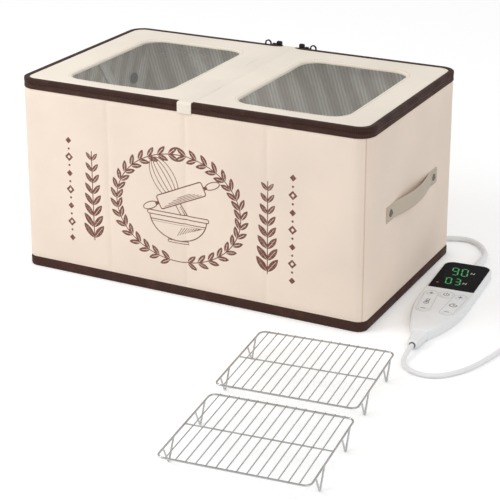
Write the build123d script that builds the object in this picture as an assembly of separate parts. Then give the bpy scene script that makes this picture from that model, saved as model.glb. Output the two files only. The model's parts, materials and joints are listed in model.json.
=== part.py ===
from build123d import *
import math
import os

# Folding dough proofer: a soft-sided heated box that folds flat like an accordion, with a zipped two-part lid
# with clear windows, a wired controller and two wire racks. Millimetres, +Z up. The origin is the centre of
# the base's underside; -Y is the printed front.

os.makedirs("parts", exist_ok=True)

# ---- Driving dimensions: the box ----
length = 500.0
width = 305.0
height = 265.0
wall = 6.0
corner_radius = 22.0
base_corner_radius = 14.0
base_height = 13.5
lid_height = 6.8
rim_height = 6.6
binding_proud = 0.5
binding_width = 5.0
slip_gap = 0.3
fold_gap = 0.5
spine_width = 3.0
band_width = 19.0
band_cloth = 1.2

# ---- The base's layers, from the floor up ----
base_cloth = 2.0
base_board = 3.0
heating_sheet = 1.0
heating_wire_diameter = 2.0
base_crease = 6.0
wire_rows = 8
wire_margin = 26.0
wire_bend_radius = 10.0
sensor_size = (10.0, 6.0, 1.6)
sensor_place = (150.0, 45.0)

# ---- Handles ----
handle_span = 150.0
handle_width = 22.0
handle_thickness = 2.0
handle_bulge = 9.0
handle_foot = 24.0
handle_z = 136.0
handle_y = -4.0
rivet_radius = 5.0
rivet_head = 1.6
rivet_dome_radius = 3.5
rivet_shank_radius = 2.0

# ---- Lid windows ----
window_length = 152.0
window_width = 226.0
window_corner = 26.0
window_centre_x = 123.5
window_shift_x = 3.5
window_centre_y = -9.5
window_lap = 6.0
window_film = 1.0
window_depth = 3.0
lid_cover_inset = 0.5

# ---- Zipper sliders and pulls ----
slider_length = 13.0
slider_height = 11.5
slider_thickness = 4.0
slider_start = 11.0
slider_corner = 1.9
crown_length = 8.0
crown_height = 6.0
crown_inset = 0.6
lug_thickness = 1.2
lug_radius = 1.7
pin_radius = 0.9
pin_clearance = 0.1
pull_eye_radius = 2.1
pull_eye_height = 5.0
pull_eye_rise = 1.5
pull_ring_rise = 1.5
pull_length = 13.0
pull_height = 10.0
pull_wire = 1.8

# ---- Controller ----
controller_clear = 59.4
controller_forward = 13.3
controller_turn = 4.0
controller_half_width = 33.5
controller_top = 103.8
controller_bottom = -124.0
controller_neck = 10.0
controller_taper_start = -22.0
controller_corner = 14.0
controller_height = 14.0
controller_split = 7.0
controller_wall = 2.0
controller_edge = 2.5
controller_foot_edge = 1.5
lens_width = 61.6
lens_length = 91.0
lens_bottom = 10.0
lens_corner_top = 12.0
lens_corner_bottom = 2.0
lens_thickness = 1.2
lens_ledge = 3.0
lens_gap = 0.1
circuit_half_width = 21.0
circuit_top = 97.0
circuit_bottom = -76.0
circuit_thickness = 1.6
circuit_seat = 3.4
post_radius = 3.0
post_inset = 6.0
display_block = (50.0, 74.0)
switch_size = 6.0
switch_height = 2.4
button_radius = 6.0
power_radius = 8.0
button_stand = 0.6
button_travel = 0.6
button_gap = 0.3
button_rest_gap = 0.2
button_edge = 0.5
button_flange = 1.0
button_row_top = -11.5
button_row_low = -61.0
button_column_top = 19.3
button_column_low = 15.5
power_v = -9.0
upper_relief_length = 40.0
lower_relief_length = 31.0
relief_root_radius = 6.5
heater_exit_u = 8.0

# ---- Cords and plug ----
heater_cord_diameter = 7.5
mains_cord_diameter = 6.0
gland_inset = 29.0
gland_length = 7.0
gland_radius = 4.2
gland_collar = 5.0
heater_lead = 17.0
gland_lead = 13.0
mains_lead = 18.0
relief_tip_extra = 0.7
coil_turn_radius = 36.0
coil_band = 18.0
coil_height = 12.0
coil_clear = 216.0
coil_forward = 84.0
coil_entry = (3.0, 24.0)
plug_tail = 40.0
plug_body = (26.0, 30.0, 14.0)
plug_neck_length = 22.0
plug_edge = 4.0
blade_size = (6.3, 17.0, 1.5)
blade_spacing = 12.7

# ---- Racks ----
rack_length = 170.0
rack_width = 152.0
rack_height = 25.0
rack_corner = 8.0
rack_frame_wire = 2.4
rack_cross_wire = 1.5
rack_wire_count = 14
rack_weld = 0.5
rack_mid_wire = 1.8
rack_leg_wire = 2.2
rack_leg_spacing = 86.0
rack_leg_spread = 28.0
rack_leg_tip = 2.6
rack_angle = 6.0
front_rack_offset = (18.5, -329.0)
back_rack_offset = (-4.5, -158.5)

# ---- Worked-out sizes ----
half_length = length / 2
half_width = width / 2
cloth_half_length = half_length - binding_proud
cloth_half_width = half_width - binding_proud
wall_bottom = base_height + slip_gap
wall_top = height - lid_height - slip_gap
rim_bottom = wall_top - rim_height
lid_bottom = height - lid_height
centre_hinge_x = spine_width / 2 + fold_gap
corner_hinge_x = cloth_half_length - corner_radius
section = (corner_hinge_x - centre_hinge_x) / 2
quarter_hinge_x = centre_hinge_x + section
lid_edge_x = band_width / 2 + fold_gap
inner_half_length = half_length - binding_width
inner_half_width = half_width - binding_width
lid_inner_corner = corner_radius - binding_width
base_inner_corner = base_corner_radius - binding_width
gland_x = half_length - gland_inset
controller_place = Pos(half_length + controller_clear, -controller_forward, 0) * Rot(0, 0, controller_turn)
coil_centre = (half_length + coil_clear, -coil_forward)
rack_places = {
    "front_rack": (half_length + front_rack_offset[0], front_rack_offset[1] - half_width),
    "back_rack": (half_length + back_rack_offset[0], back_rack_offset[1] - half_width),
}


def block(low, high):
    """A box between two opposite corners."""
    size = [high[i] - low[i] for i in range(3)]
    centre = [(high[i] + low[i]) / 2 for i in range(3)]
    return Pos(*centre) * Box(*size)


def slab(half_x, half_y, radius, low, high):
    """A flat plate with rounded corners in plan, between two heights."""
    return Pos(0, 0, low) * extrude(RectangleRounded(2 * half_x, 2 * half_y, radius), high - low)


def ring(half_x, half_y, radius, thickness, low, high):
    """A rounded rectangular ring of even thickness, measured inwards from its outer size."""
    outer = slab(half_x, half_y, radius, low, high)
    return outer - slab(half_x - thickness, half_y - thickness, radius - thickness, low - 1, high + 1)


def rod(start, end, radius):
    """A round bar from one point to another."""
    direction = Vector(*end) - Vector(*start)
    return extrude(Plane(origin=start, z_dir=direction) * Circle(radius), direction.length)


def cone(start, end, start_radius, end_radius):
    """A round taper from one point to another."""
    direction = Vector(*end) - Vector(*start)
    plane = Plane(origin=start, z_dir=direction)
    return plane * Pos(0, 0, direction.length / 2) * Cone(start_radius, end_radius, direction.length)


def save(name, *solids):
    """Write one node: its separate solids as one STEP file."""
    pieces = [solid for shape in solids for solid in shape.solids()]
    export_step(pieces[0] if len(pieces) == 1 else Compound(children=pieces), f"parts/{name}.step")


# ---- Base: layered floor, one flat piece that the walls slide over ----
def build_base():
    binding = ring(half_length, half_width, base_corner_radius, binding_width, 0, base_height)
    gland_start = (gland_x, inner_half_width - 1, base_height / 2)
    gland_hole = rod(gland_start, (gland_x, half_width + 1, base_height / 2), gland_radius)
    save("base_binding", binding - gland_hole)

    cloth_top = base_cloth
    board_top = cloth_top + base_board
    sheet_top = board_top + heating_sheet
    wire_top = sheet_top + heating_wire_diameter
    inside = (inner_half_length, inner_half_width, base_inner_corner)
    save("base_cover", slab(*inside, 0, cloth_top))
    boards = slab(*inside, cloth_top, board_top)
    crease = block((-base_crease / 2, -half_width, cloth_top), (base_crease / 2, half_width, board_top))
    save("base_boards", boards - crease)
    save("heating_mat", slab(*inside, board_top, sheet_top))
    save("floor_liner", slab(*inside, wire_top, base_height))

    # The wire zigzags over the mat from one side of the gland and comes back to the other.
    wire_radius = heating_wire_diameter / 2
    wire_z = sheet_top + wire_radius
    reach_x = inner_half_length - wire_margin
    reach_y = inner_half_width - wire_margin
    turn_x = gland_x - 3 * wire_bend_radius
    lead_offset = heating_wire_diameter * 1.5
    points = [(gland_x + lead_offset, inner_half_width, wire_z)]
    for row in range(wire_rows):
        y = -reach_y + 2 * reach_y * row / (wire_rows - 1)
        right = gland_x + lead_offset if row == 0 else turn_x
        right = gland_x - lead_offset if row == wire_rows - 1 else right
        ends = [(right, y, wire_z), (-reach_x, y, wire_z)]
        points += ends if row % 2 == 0 else ends[::-1]
    points.append((gland_x - lead_offset, inner_half_width, wire_z))
    path = FilletPolyline(*points, radius=wire_bend_radius)
    start = Plane(origin=points[0], z_dir=(0, -1, 0))
    wire = sweep(start * Circle(wire_radius), path=path)
    sensor = block(
        (sensor_place[0], sensor_place[1], sheet_top),
        (sensor_place[0] + sensor_size[0], sensor_place[1] + sensor_size[1], sheet_top + sensor_size[2]),
    )
    save("heating_wire", wire, sensor)


# ---- Centre band: the lid's fixed strip, its tabs over the rims, and the spines that carry it ----
def build_centre_band():
    tab_outer = half_width + slip_gap + band_cloth
    band = block((-band_width / 2, -tab_outer, lid_bottom), (band_width / 2, tab_outer, height))
    for side in (-1, 1):
        inner, outer = side * (half_width + slip_gap), side * tab_outer
        near, far = sorted((inner, outer))
        band += block((-band_width / 2, near, rim_bottom), (band_width / 2, far, height))
        spine_in, spine_out = side * (cloth_half_width - wall), side * cloth_half_width
        band += block(
            (-spine_width / 2, min(spine_in, spine_out), base_height),
            (spine_width / 2, max(spine_in, spine_out), lid_bottom),
        )
    save("centre_band", band)


# ---- Front and back walls: four sections each, hinged at the centre, the quarters and the corners ----
def build_long_walls():
    right_spans = [(centre_hinge_x, quarter_hinge_x), (quarter_hinge_x, corner_hinge_x)]
    spans = [(-right, -left) for left, right in reversed(right_spans)] + right_spans
    bands = (("panel", 0, wall_bottom, rim_bottom), ("rim", binding_proud, rim_bottom, wall_top))
    for side, name in ((-1, "front"), (1, "back")):
        for number, (left, right) in enumerate(spans, start=1):
            for kind, proud, low, high in bands:
                faces = sorted((side * (cloth_half_width - wall - proud), side * (cloth_half_width + proud)))
                piece = block((left + fold_gap, faces[0], low), (right - fold_gap, faces[1], high))
                save(f"{name}_{kind}_{number}", piece)


# ---- End walls: rounded corners, webbing handle and rivets ----
def build_end_walls():
    keep_far = 2 * length
    for side, name in ((-1, "left"), (1, "right")):
        near, far = side * (corner_hinge_x + fold_gap), side * keep_far
        clip = block((min(near, far), -length, -height), (max(near, far), length, 2 * height))
        panel = ring(cloth_half_length, cloth_half_width, corner_radius, wall, wall_bottom, rim_bottom) & clip
        rim_radius, rim_wall = corner_radius + binding_proud, wall + 2 * binding_proud
        rim = ring(half_length, half_width, rim_radius, rim_wall, rim_bottom, wall_top) & clip
        rivets = []
        for y in (handle_y - handle_span / 2, handle_y + handle_span / 2):
            outer = cloth_half_length + handle_thickness
            inner = cloth_half_length - wall
            shank = rod((side * inner, y, handle_z), (side * outer, y, handle_z), rivet_shank_radius)
            panel -= shank
            dome = side * (outer + rivet_head)
            head = cone((side * outer, y, handle_z), (dome, y, handle_z), rivet_radius, rivet_dome_radius)
            tail = side * (inner - rivet_head)
            clinch = rod((tail, y, handle_z), (side * inner, y, handle_z), rivet_radius)
            rivets.append(shank + head + clinch)
        save(f"{name}_end_panel", panel)
        save(f"{name}_end_rim", rim)
        save(f"{name}_rivets", *rivets)

        # The strap lies flat at its feet and bows out between them.
        handle = strap(side)
        for y in (handle_y - handle_span / 2, handle_y + handle_span / 2):
            handle -= rod((side * inner, y, handle_z), (side * (outer + 1), y, handle_z), rivet_shank_radius)
        save(f"{name}_handle", handle)


def strap(side):
    """A flat webbing strap seen from above: straight feet and an even bow, with its thickness outwards."""
    foot = handle_span / 2 - handle_foot / 2
    tip = handle_span / 2 + handle_foot / 2
    lift = cloth_half_length

    def line(offset):
        rest, top = lift + offset, lift + handle_bulge + offset
        quarter = foot / 2
        middle = (rest + top) / 2
        return (
            [(rest, -tip), (rest, -foot)],
            [(rest, -foot), (middle, -quarter), (top, 0), (middle, quarter), (rest, foot)],
            [(rest, foot), (rest, tip)],
        )

    inner, outer = line(0), line(handle_thickness)
    edges = []
    for first, bow, last in (inner, outer):
        edges.append(Line(*first))
        edges.append(Spline(*bow, tangents=[(0, 1), (0, 1)]))
        edges.append(Line(*last))
    edges.append(Line(inner[0][0], outer[0][0]))
    edges.append(Line(inner[2][1], outer[2][1]))
    shape = Pos(0, handle_y, handle_z - handle_width / 2) * extrude(make_face(edges), handle_width)
    return shape if side > 0 else mirror(shape, Plane.YZ)


# ---- Lid halves: cloth frame with a board in it, binding, clear window ----
def build_lid():
    film_top = height - window_depth
    for side, name in ((-1, "left"), (1, "right")):
        near, far = side * lid_edge_x, side * 2 * length
        clip = block((min(near, far), -length, 0), (max(near, far), length, 2 * height))
        binding = ring(half_length, half_width, corner_radius, binding_width, lid_bottom, height) & clip
        centre = Pos(side * window_centre_x + window_shift_x, window_centre_y)
        opening = centre * RectangleRounded(window_length, window_width, window_corner)
        seat = centre * RectangleRounded(
            window_length + 2 * window_lap, window_width + 2 * window_lap, window_corner + window_lap
        )
        cover_top = height - lid_cover_inset
        cover = slab(inner_half_length, inner_half_width, lid_inner_corner, lid_bottom, cover_top) & clip
        cover -= extrude(opening, height)
        cover -= extrude(seat, film_top)
        film = Pos(0, 0, film_top - window_film) * extrude(seat, window_film)
        save(f"{name}_lid_binding", binding)
        save(f"{name}_lid_cover", cover)
        save(f"{name}_window", film)


# ---- Zipper sliders at the back centre, each with a pull ring on an upright pin ----
def build_sliders():
    back = half_width + slip_gap
    pin_x = slider_start + slider_length + slip_gap + pull_eye_radius
    pin_y = back + slider_thickness / 2
    eye_low = lid_bottom + pull_eye_rise
    eye_high = eye_low + pull_eye_height
    lug_levels = (eye_low - slip_gap - lug_thickness, eye_high + slip_gap)
    for side, name in ((-1, "left"), (1, "right")):
        low, high = lid_bottom - slider_height / 2, lid_bottom + slider_height / 2
        end = slider_start + slider_length
        body = sided(side, (slider_start, back, low), (end, back + slider_thickness, high))
        body = fillet(body.edges().filter_by(Axis.Y), slider_corner)
        crown_start = slider_start + (slider_length - crown_length) / 2
        crown = sided(
            side,
            (crown_start, back + crown_inset, high - slider_corner),
            (crown_start + crown_length, back + slider_thickness - crown_inset, high + crown_height),
        )
        body += fillet(crown.edges().filter_by(Axis.Y), slider_corner)
        web_x, near_y, far_y = end - lug_thickness, pin_y - lug_radius, pin_y + lug_radius
        body += sided(side, (web_x, near_y, high - slider_corner), (end, far_y, lug_levels[1]))
        for level in lug_levels:
            lug_top = level + lug_thickness
            body += sided(side, (web_x, near_y, level), (pin_x, far_y, lug_top))
            body += rod((side * pin_x, pin_y, level), (side * pin_x, pin_y, lug_top), lug_radius)
        body += rod((side * pin_x, pin_y, lug_levels[0]), (side * pin_x, pin_y, lug_levels[1]), pin_radius)
        save(f"{name}_slider", body)

        # The pull is an upright ring on a short neck, with an eye round the pin.
        ring_start = pin_x + pull_eye_radius
        ring_z = (eye_low + eye_high) / 2 + pull_ring_rise
        ring_centre = (side * (ring_start + pull_length / 2), pin_y + pull_wire / 2, ring_z)
        face = Plane(origin=ring_centre, z_dir=(0, -1, 0))
        hole = SlotOverall(pull_length - 2 * pull_wire, pull_height - 2 * pull_wire)
        outline = SlotOverall(pull_length, pull_height) - hole
        pull = extrude(face * outline, pull_wire)
        pull += rod((side * pin_x, pin_y, eye_low), (side * pin_x, pin_y, eye_high), pull_eye_radius)
        pull += sided(
            side,
            (pin_x, pin_y - pull_wire / 2, ring_z - pull_wire),
            (ring_start + pull_wire, pin_y + pull_wire / 2, eye_high),
        )
        bore = pin_radius + pin_clearance
        pull -= rod((side * pin_x, pin_y, eye_low - 1), (side * pin_x, pin_y, eye_high + 1), bore)
        save(f"{name}_pull", pull)


def sided(side, low, high):
    """A box given by its corners on the right, mirrored to the left where side is -1."""
    near, far = sorted((side * low[0], side * high[0]))
    return block((near, low[1], low[2]), (far, high[1], high[2]))


# ---- Controller ----
def controller_outline():
    """A shield: straight flanks, round top corners and one long arc on each side down to the neck."""
    flank, corner = controller_half_width, controller_corner
    top, bottom = controller_top, controller_bottom
    right = [
        Line((0, top), (flank - corner, top)),
        RadiusArc((flank - corner, top), (flank, top - corner), corner),
        Line((flank, top - corner), (flank, controller_taper_start)),
        TangentArc((flank, controller_taper_start), (controller_neck, bottom), tangent=(0, -1)),
        Line((controller_neck, bottom), (0, bottom)),
    ]
    left = [mirror(edge, Plane.YZ) for edge in right]
    return make_face(right + left)


def lens_outline(grow=0.0):
    """The display window: two large round corners at the top, two small ones at the bottom."""
    half = lens_width / 2 + grow
    low, high = lens_bottom - grow, lens_bottom + lens_length + grow
    round_top, round_bottom = lens_corner_top + grow, lens_corner_bottom + max(grow, 0)
    edges = [
        Line((-half, low + round_bottom), (-half, high - round_top)),
        RadiusArc((-half, high - round_top), (-half + round_top, high), round_top),
        Line((-half + round_top, high), (half - round_top, high)),
        RadiusArc((half - round_top, high), (half, high - round_top), round_top),
        Line((half, high - round_top), (half, low + round_bottom)),
        RadiusArc((half, low + round_bottom), (half - round_bottom, low), round_bottom),
        Line((half - round_bottom, low), (-half + round_bottom, low)),
        RadiusArc((-half + round_bottom, low), (-half, low + round_bottom), round_bottom),
    ]
    return make_face(edges)


buttons = {
    "power_button": (0.0, power_v, power_radius),
    "temperature_up_button": (-button_column_top, button_row_top, button_radius),
    "temperature_down_button": (-button_column_low, button_row_low, button_radius),
    "time_up_button": (button_column_top, button_row_top, button_radius),
    "time_down_button": (button_column_low, button_row_low, button_radius),
}


def build_controller():
    outline = controller_outline()
    cavity = offset(outline, -controller_wall)
    split, top = controller_split, controller_height
    ceiling = top - controller_wall

    lower = extrude(outline, split)
    lower = chamfer(lower.faces().sort_by(Axis.Z)[0].outer_wire().edges(), controller_foot_edge)
    lower -= Pos(0, 0, controller_wall) * extrude(cavity, split)
    for x in (post_inset - circuit_half_width, circuit_half_width - post_inset):
        for y in (circuit_bottom + post_inset, circuit_top - post_inset):
            lower += Pos(x, y, 0) * extrude(Circle(post_radius), circuit_seat)
    save("controller_base", controller_place * lower)

    upper = Pos(0, 0, split) * extrude(outline, top - split)
    upper = fillet(upper.faces().sort_by(Axis.Z)[-1].outer_wire().edges(), controller_edge)
    upper -= Pos(0, 0, split) * extrude(cavity, ceiling - split)
    upper -= Pos(0, 0, top - lens_thickness) * extrude(lens_outline(lens_gap), lens_thickness * 2)
    upper -= Pos(0, 0, split) * extrude(lens_outline(-lens_ledge), top)
    for u, v, radius in buttons.values():
        upper -= Pos(u, v, split) * extrude(Circle(radius + button_gap), top)
    save("controller_cover", controller_place * upper)
    lens = Pos(0, 0, top - lens_thickness) * extrude(lens_outline(), lens_thickness)
    save("display_lens", controller_place * lens)

    board_top = circuit_seat + circuit_thickness
    low_corner = (-circuit_half_width, circuit_bottom, circuit_seat)
    board = block(low_corner, (circuit_half_width, circuit_top, board_top))
    lens_centre = lens_bottom + lens_length / 2
    board += block(
        (-display_block[0] / 2, lens_centre - display_block[1] / 2, circuit_seat),
        (display_block[0] / 2, lens_centre + display_block[1] / 2, top - lens_thickness),
    )
    for u, v, radius in buttons.values():
        board += block(
            (u - switch_size / 2, v - switch_size / 2, circuit_seat),
            (u + switch_size / 2, v + switch_size / 2, board_top + switch_height),
        )
    save("circuit_board", controller_place * board)

    button_low = board_top + switch_height + button_travel + button_rest_gap
    for name, (u, v, radius) in buttons.items():
        cap = Pos(u, v, button_low) * extrude(Circle(radius), top + button_stand - button_low)
        cap = fillet(cap.faces().sort_by(Axis.Z)[-1].edges(), button_edge)
        flange_top = ceiling - button_rest_gap
        flange = Circle(radius + button_gap + button_flange)
        cap += Pos(u, v, flange_top - button_flange) * extrude(flange, button_flange)
        save(name, controller_place * cap)


# ---- Strain reliefs, cords, coil and plug ----
def controller_point(u, v, z):
    """A point of the controller in the part's frame."""
    return tuple((controller_place * Pos(u, v, z)).position)


def cord_tube(points, radius):
    """A tube along straight runs joined by arcs as large as the runs allow."""
    vectors = [Vector(*point) for point in points]
    radii = []
    for before, corner, after in zip(vectors, vectors[1:], vectors[2:]):
        shorter = min((corner - before).length, (after - corner).length)
        turn = math.radians((corner - before).get_angle(after - corner))
        radii.append(0.45 * shorter / math.tan(turn / 2))
    path = FilletPolyline(*points, radius=radii)
    start = Plane(origin=points[0], z_dir=vectors[1] - vectors[0])
    tube = sweep(start * Circle(radius), path=path)
    share = tube.volume / (math.pi * radius**2 * path.length)
    print("radii", [round(value) for value in radii])
    print("length", round(path.length), "volume share", round(share, 4))
    return tube


def build_cords():
    heater_radius = heater_cord_diameter / 2
    mains_radius = mains_cord_diameter / 2
    gland_z = base_height / 2
    gland_tip = (gland_x, half_width + gland_length, gland_z)
    gland = rod((gland_x, inner_half_width, gland_z), (gland_x, half_width, gland_z), gland_radius)
    gland += cone((gland_x, half_width, gland_z), gland_tip, gland_collar, heater_radius + relief_tip_extra)
    exit_z = controller_split
    upper_root = controller_point(heater_exit_u, controller_top, exit_z)
    upper_tip = controller_point(heater_exit_u, controller_top + upper_relief_length, exit_z)
    lower_root = controller_point(0, controller_bottom, exit_z)
    lower_tip = controller_point(0, controller_bottom - lower_relief_length, exit_z)
    upper_relief = cone(upper_root, upper_tip, relief_root_radius, heater_radius + relief_tip_extra)
    lower_relief = cone(lower_root, lower_tip, relief_root_radius, mains_radius + relief_tip_extra)
    save("strain_reliefs", gland, upper_relief, lower_relief)

    heater_route = [
        gland_tip,
        (gland_x, gland_tip[1] + gland_lead, gland_z),
        (half_length - 22.0, half_width + 32.0, heater_radius),
        (half_length - 6.0, half_width + 40.3, heater_radius),
        (half_length + 10.0, half_width + 44.3, heater_radius),
        (half_length + 26.0, half_width + 39.5, heater_radius),
        (half_length + 39.5, half_width + 26.5, heater_radius),
        (half_length + 50.0, half_width + 8.5, heater_radius),
        controller_point(heater_exit_u, controller_top + upper_relief_length + heater_lead, exit_z),
        upper_tip,
    ]
    save("heater_cord", cord_tube(heater_route, heater_radius))

    cx, cy = coil_centre
    outer_turn = coil_turn_radius + coil_band / 2 - mains_radius
    mains_route = [
        lower_tip,
        controller_point(0, controller_bottom - lower_relief_length - mains_lead, exit_z),
        (half_length + 72.2, -203.5, mains_radius),
        (half_length + 78.5, -216.0, mains_radius),
        (half_length + 90.5, -225.8, mains_radius),
        (half_length + 105.5, -229.8, mains_radius),
        (half_length + 120.0, -226.8, mains_radius),
        (half_length + 132.2, -217.4, mains_radius),
        (half_length + 148.5, -194.5, mains_radius),
        (half_length + 157.5, -168.0, mains_radius),
        (half_length + 164.0, -145.0, mains_radius),
        (cx - outer_turn - coil_entry[0], cy - coil_entry[1], mains_radius),
        (cx - outer_turn, cy, mains_radius),
    ]
    coil_place = Pos(cx, cy, coil_height / 2)
    envelope = coil_place * Cylinder(coil_turn_radius + coil_band / 2, coil_height)
    coil = envelope - coil_place * Cylinder(coil_turn_radius - coil_band / 2, coil_height)
    lead_in = cord_tube(mains_route, mains_radius) - envelope
    lead_in = lead_in.solids().sort_by(SortBy.VOLUME)[-1]

    # The free end leaves the coil's far side and runs straight into the plug's neck.
    tail_x = cx + outer_turn
    tail_end = cy - plug_tail
    plug_z = plug_body[2] / 2
    tail = rod((tail_x, cy, plug_z), (tail_x, tail_end, plug_z), mains_radius) - envelope
    tail = tail.solids().sort_by(SortBy.VOLUME)[-1]
    save("mains_cord", lead_in, tail)
    save("mains_coil", coil)
    neck_end = tail_end - plug_neck_length
    neck_tip = mains_radius + relief_tip_extra
    plug = cone((tail_x, tail_end, plug_z), (tail_x, neck_end, plug_z), neck_tip, plug_z)
    body = block(
        (tail_x - plug_body[0] / 2, neck_end - plug_body[1], 0),
        (tail_x + plug_body[0] / 2, neck_end, plug_body[2]),
    )
    plug += fillet(body.edges().filter_by(Axis.Y), plug_edge)
    save("plug", plug)
    face = neck_end - plug_body[1]
    blades = []
    for side in (-1, 1):
        x = tail_x + side * blade_spacing / 2
        blades.append(
            block(
                (x - blade_size[2] / 2, face - blade_size[1], plug_z - blade_size[0] / 2),
                (x + blade_size[2] / 2, face, plug_z + blade_size[0] / 2),
            )
        )
    save("plug_blades", *blades)


# ---- Wire racks ----
def build_racks():
    frame_radius = rack_frame_wire / 2
    cross_radius = rack_cross_wire / 2
    cross_z = rack_height - cross_radius
    frame_z = cross_z - cross_radius - frame_radius + rack_weld
    half_l = rack_length / 2 - frame_radius
    half_w = rack_width / 2 - frame_radius
    outline = Pos(0, 0, frame_z) * RectangleRounded(2 * half_l, 2 * half_w, rack_corner).wire()
    frame = sweep(Plane(origin=(0, -half_w, frame_z), z_dir=(1, 0, 0)) * Circle(frame_radius), path=outline)
    mid_radius = rack_mid_wire / 2
    mid_z = cross_z - cross_radius - mid_radius + rack_weld
    grid = frame + rod((-half_l, 0, mid_z), (half_l, 0, mid_z), mid_radius)
    pitch = 2 * half_l / (rack_wire_count + 1)
    for number in range(1, rack_wire_count + 1):
        x = -half_l + number * pitch
        grid += rod((x, -half_w, cross_z), (x, half_w, cross_z), cross_radius)
    # Each leg is a V whose rounded tip touches the ground, so its sides meet a little below the tip.
    half_spread = rack_leg_spread / 2
    tip_drop = frame_z - rack_leg_wire / 2 - rack_leg_tip
    lean = math.atan2(half_spread, tip_drop) - math.asin(rack_leg_tip / math.hypot(half_spread, tip_drop))
    meeting_z = frame_z - half_spread / math.tan(lean)
    legs = []
    for x in (-half_l, half_l):
        for y in (-rack_leg_spacing / 2, rack_leg_spacing / 2):
            points = [
                (x, y - half_spread, frame_z),
                (x, y, meeting_z),
                (x, y + half_spread, frame_z),
            ]
            path = FilletPolyline(*points, radius=rack_leg_tip)
            direction = Vector(*points[1]) - Vector(*points[0])
            leg = sweep(Plane(origin=points[0], z_dir=direction) * Circle(rack_leg_wire / 2), path=path)
            legs.append((leg - grid).solids().sort_by(SortBy.VOLUME)[-1])
    for name, (x, y) in rack_places.items():
        place = Pos(x, y, 0) * Rot(0, 0, rack_angle)
        save(f"{name}_grid", place * grid)
        save(f"{name}_legs", *[place * leg for leg in legs])


build_base()
build_centre_band()
build_long_walls()
build_end_walls()
build_lid()
build_sliders()
build_controller()
build_cords()
build_racks()
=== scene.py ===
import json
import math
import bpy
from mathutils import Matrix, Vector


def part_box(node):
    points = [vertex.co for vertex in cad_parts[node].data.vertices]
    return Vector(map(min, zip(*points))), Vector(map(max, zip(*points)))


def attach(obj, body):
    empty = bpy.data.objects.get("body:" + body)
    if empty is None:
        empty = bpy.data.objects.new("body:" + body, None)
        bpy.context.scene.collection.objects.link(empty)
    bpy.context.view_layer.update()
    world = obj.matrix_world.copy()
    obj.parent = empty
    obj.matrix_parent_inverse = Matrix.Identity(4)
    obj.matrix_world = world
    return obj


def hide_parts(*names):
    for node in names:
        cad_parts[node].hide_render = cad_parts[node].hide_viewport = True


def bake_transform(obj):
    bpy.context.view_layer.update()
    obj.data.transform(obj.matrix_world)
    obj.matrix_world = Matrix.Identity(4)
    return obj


bl_info = {
    "name": "Folding dough proofer",
    "version": (1, 0, 0),
    "blender": (4, 5, 0),
    "location": "3D View > Sidebar > Proofer",
    "description": "Dresses a folding dough proofer in cloth, foil, film, tape, plastic and wire",
    "category": "Object",
}

import bpy
import numpy as np
from mathutils import Vector

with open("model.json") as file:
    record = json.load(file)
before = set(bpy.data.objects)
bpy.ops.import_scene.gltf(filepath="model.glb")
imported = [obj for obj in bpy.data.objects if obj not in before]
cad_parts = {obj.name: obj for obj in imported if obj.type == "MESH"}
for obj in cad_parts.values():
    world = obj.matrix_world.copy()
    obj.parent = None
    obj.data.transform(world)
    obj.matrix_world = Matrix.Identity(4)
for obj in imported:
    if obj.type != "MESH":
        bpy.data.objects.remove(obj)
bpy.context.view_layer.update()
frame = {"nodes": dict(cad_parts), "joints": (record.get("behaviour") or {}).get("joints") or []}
MM = 0.001
SHARP_EDGE = 38
TURNED_POINTS = 32


# ---- Sizes read from the frame ----
def low(node):
    """A frame node's lowest corner."""
    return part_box(node)[0]


def high(node):
    """A frame node's highest corner."""
    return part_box(node)[1]


def hinge(joint):
    """A hinge's place in the frame."""
    return Vector(next(j for j in frame["joints"] if j["name"] == joint)["pos_m"])


WALL_X = high("right_end_panel").x
WALL_Y = -low("front_panel_1").y
WALL_INSIDE_Y = -high("front_panel_1").y
WALL_THICKNESS = WALL_Y - WALL_INSIDE_Y
WALL_LOW = low("front_panel_1").z
WALL_HIGH = high("front_panel_1").z
TAPE_X = high("base_binding").x
TAPE_Y = high("base_binding").y
TAPE_WIDTH = high("front_rim_1").y - low("front_rim_1").y
RIM_LOW = low("front_rim_1").z
RIM_HIGH = high("front_rim_1").z
LID_LOW = low("left_lid_cover").z
LID_TOP = high("left_lid_cover").z
LID_EDGE = low("right_lid_cover").x
LID_TAPE_TOP = high("left_lid_binding").z
FILM_TOP = high("left_window").z
QUARTER = hinge("front_fold_4").x
CORNER = hinge("end_right_hinge").x
CENTRE = hinge("front_fold_3").x
CORNER_RADIUS = WALL_X - CORNER


# ---- Settings that a user would change ----
def tone(red, green, blue):
    """A screen colour, each part from 0 to 255, as linear light."""
    shares = [value / 255 for value in (red, green, blue)]
    return tuple(s / 12.92 if s <= 0.04045 else ((s + 0.055) / 1.055) ** 2.4 for s in shares)


def colour(name, description, red, green, blue):
    """A colour setting with its default given as a screen colour."""
    return bpy.props.FloatVectorProperty(
        name=name, description=description, subtype="COLOR", size=3, min=0, max=1,
        default=tone(red, green, blue),
    )


def distance(name, description, millimetres):
    """A length setting with its default given in millimetres."""
    return bpy.props.FloatProperty(
        name=name, description=description, subtype="DISTANCE", unit="LENGTH", min=0,
        precision=5, default=millimetres * MM,
    )


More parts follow.
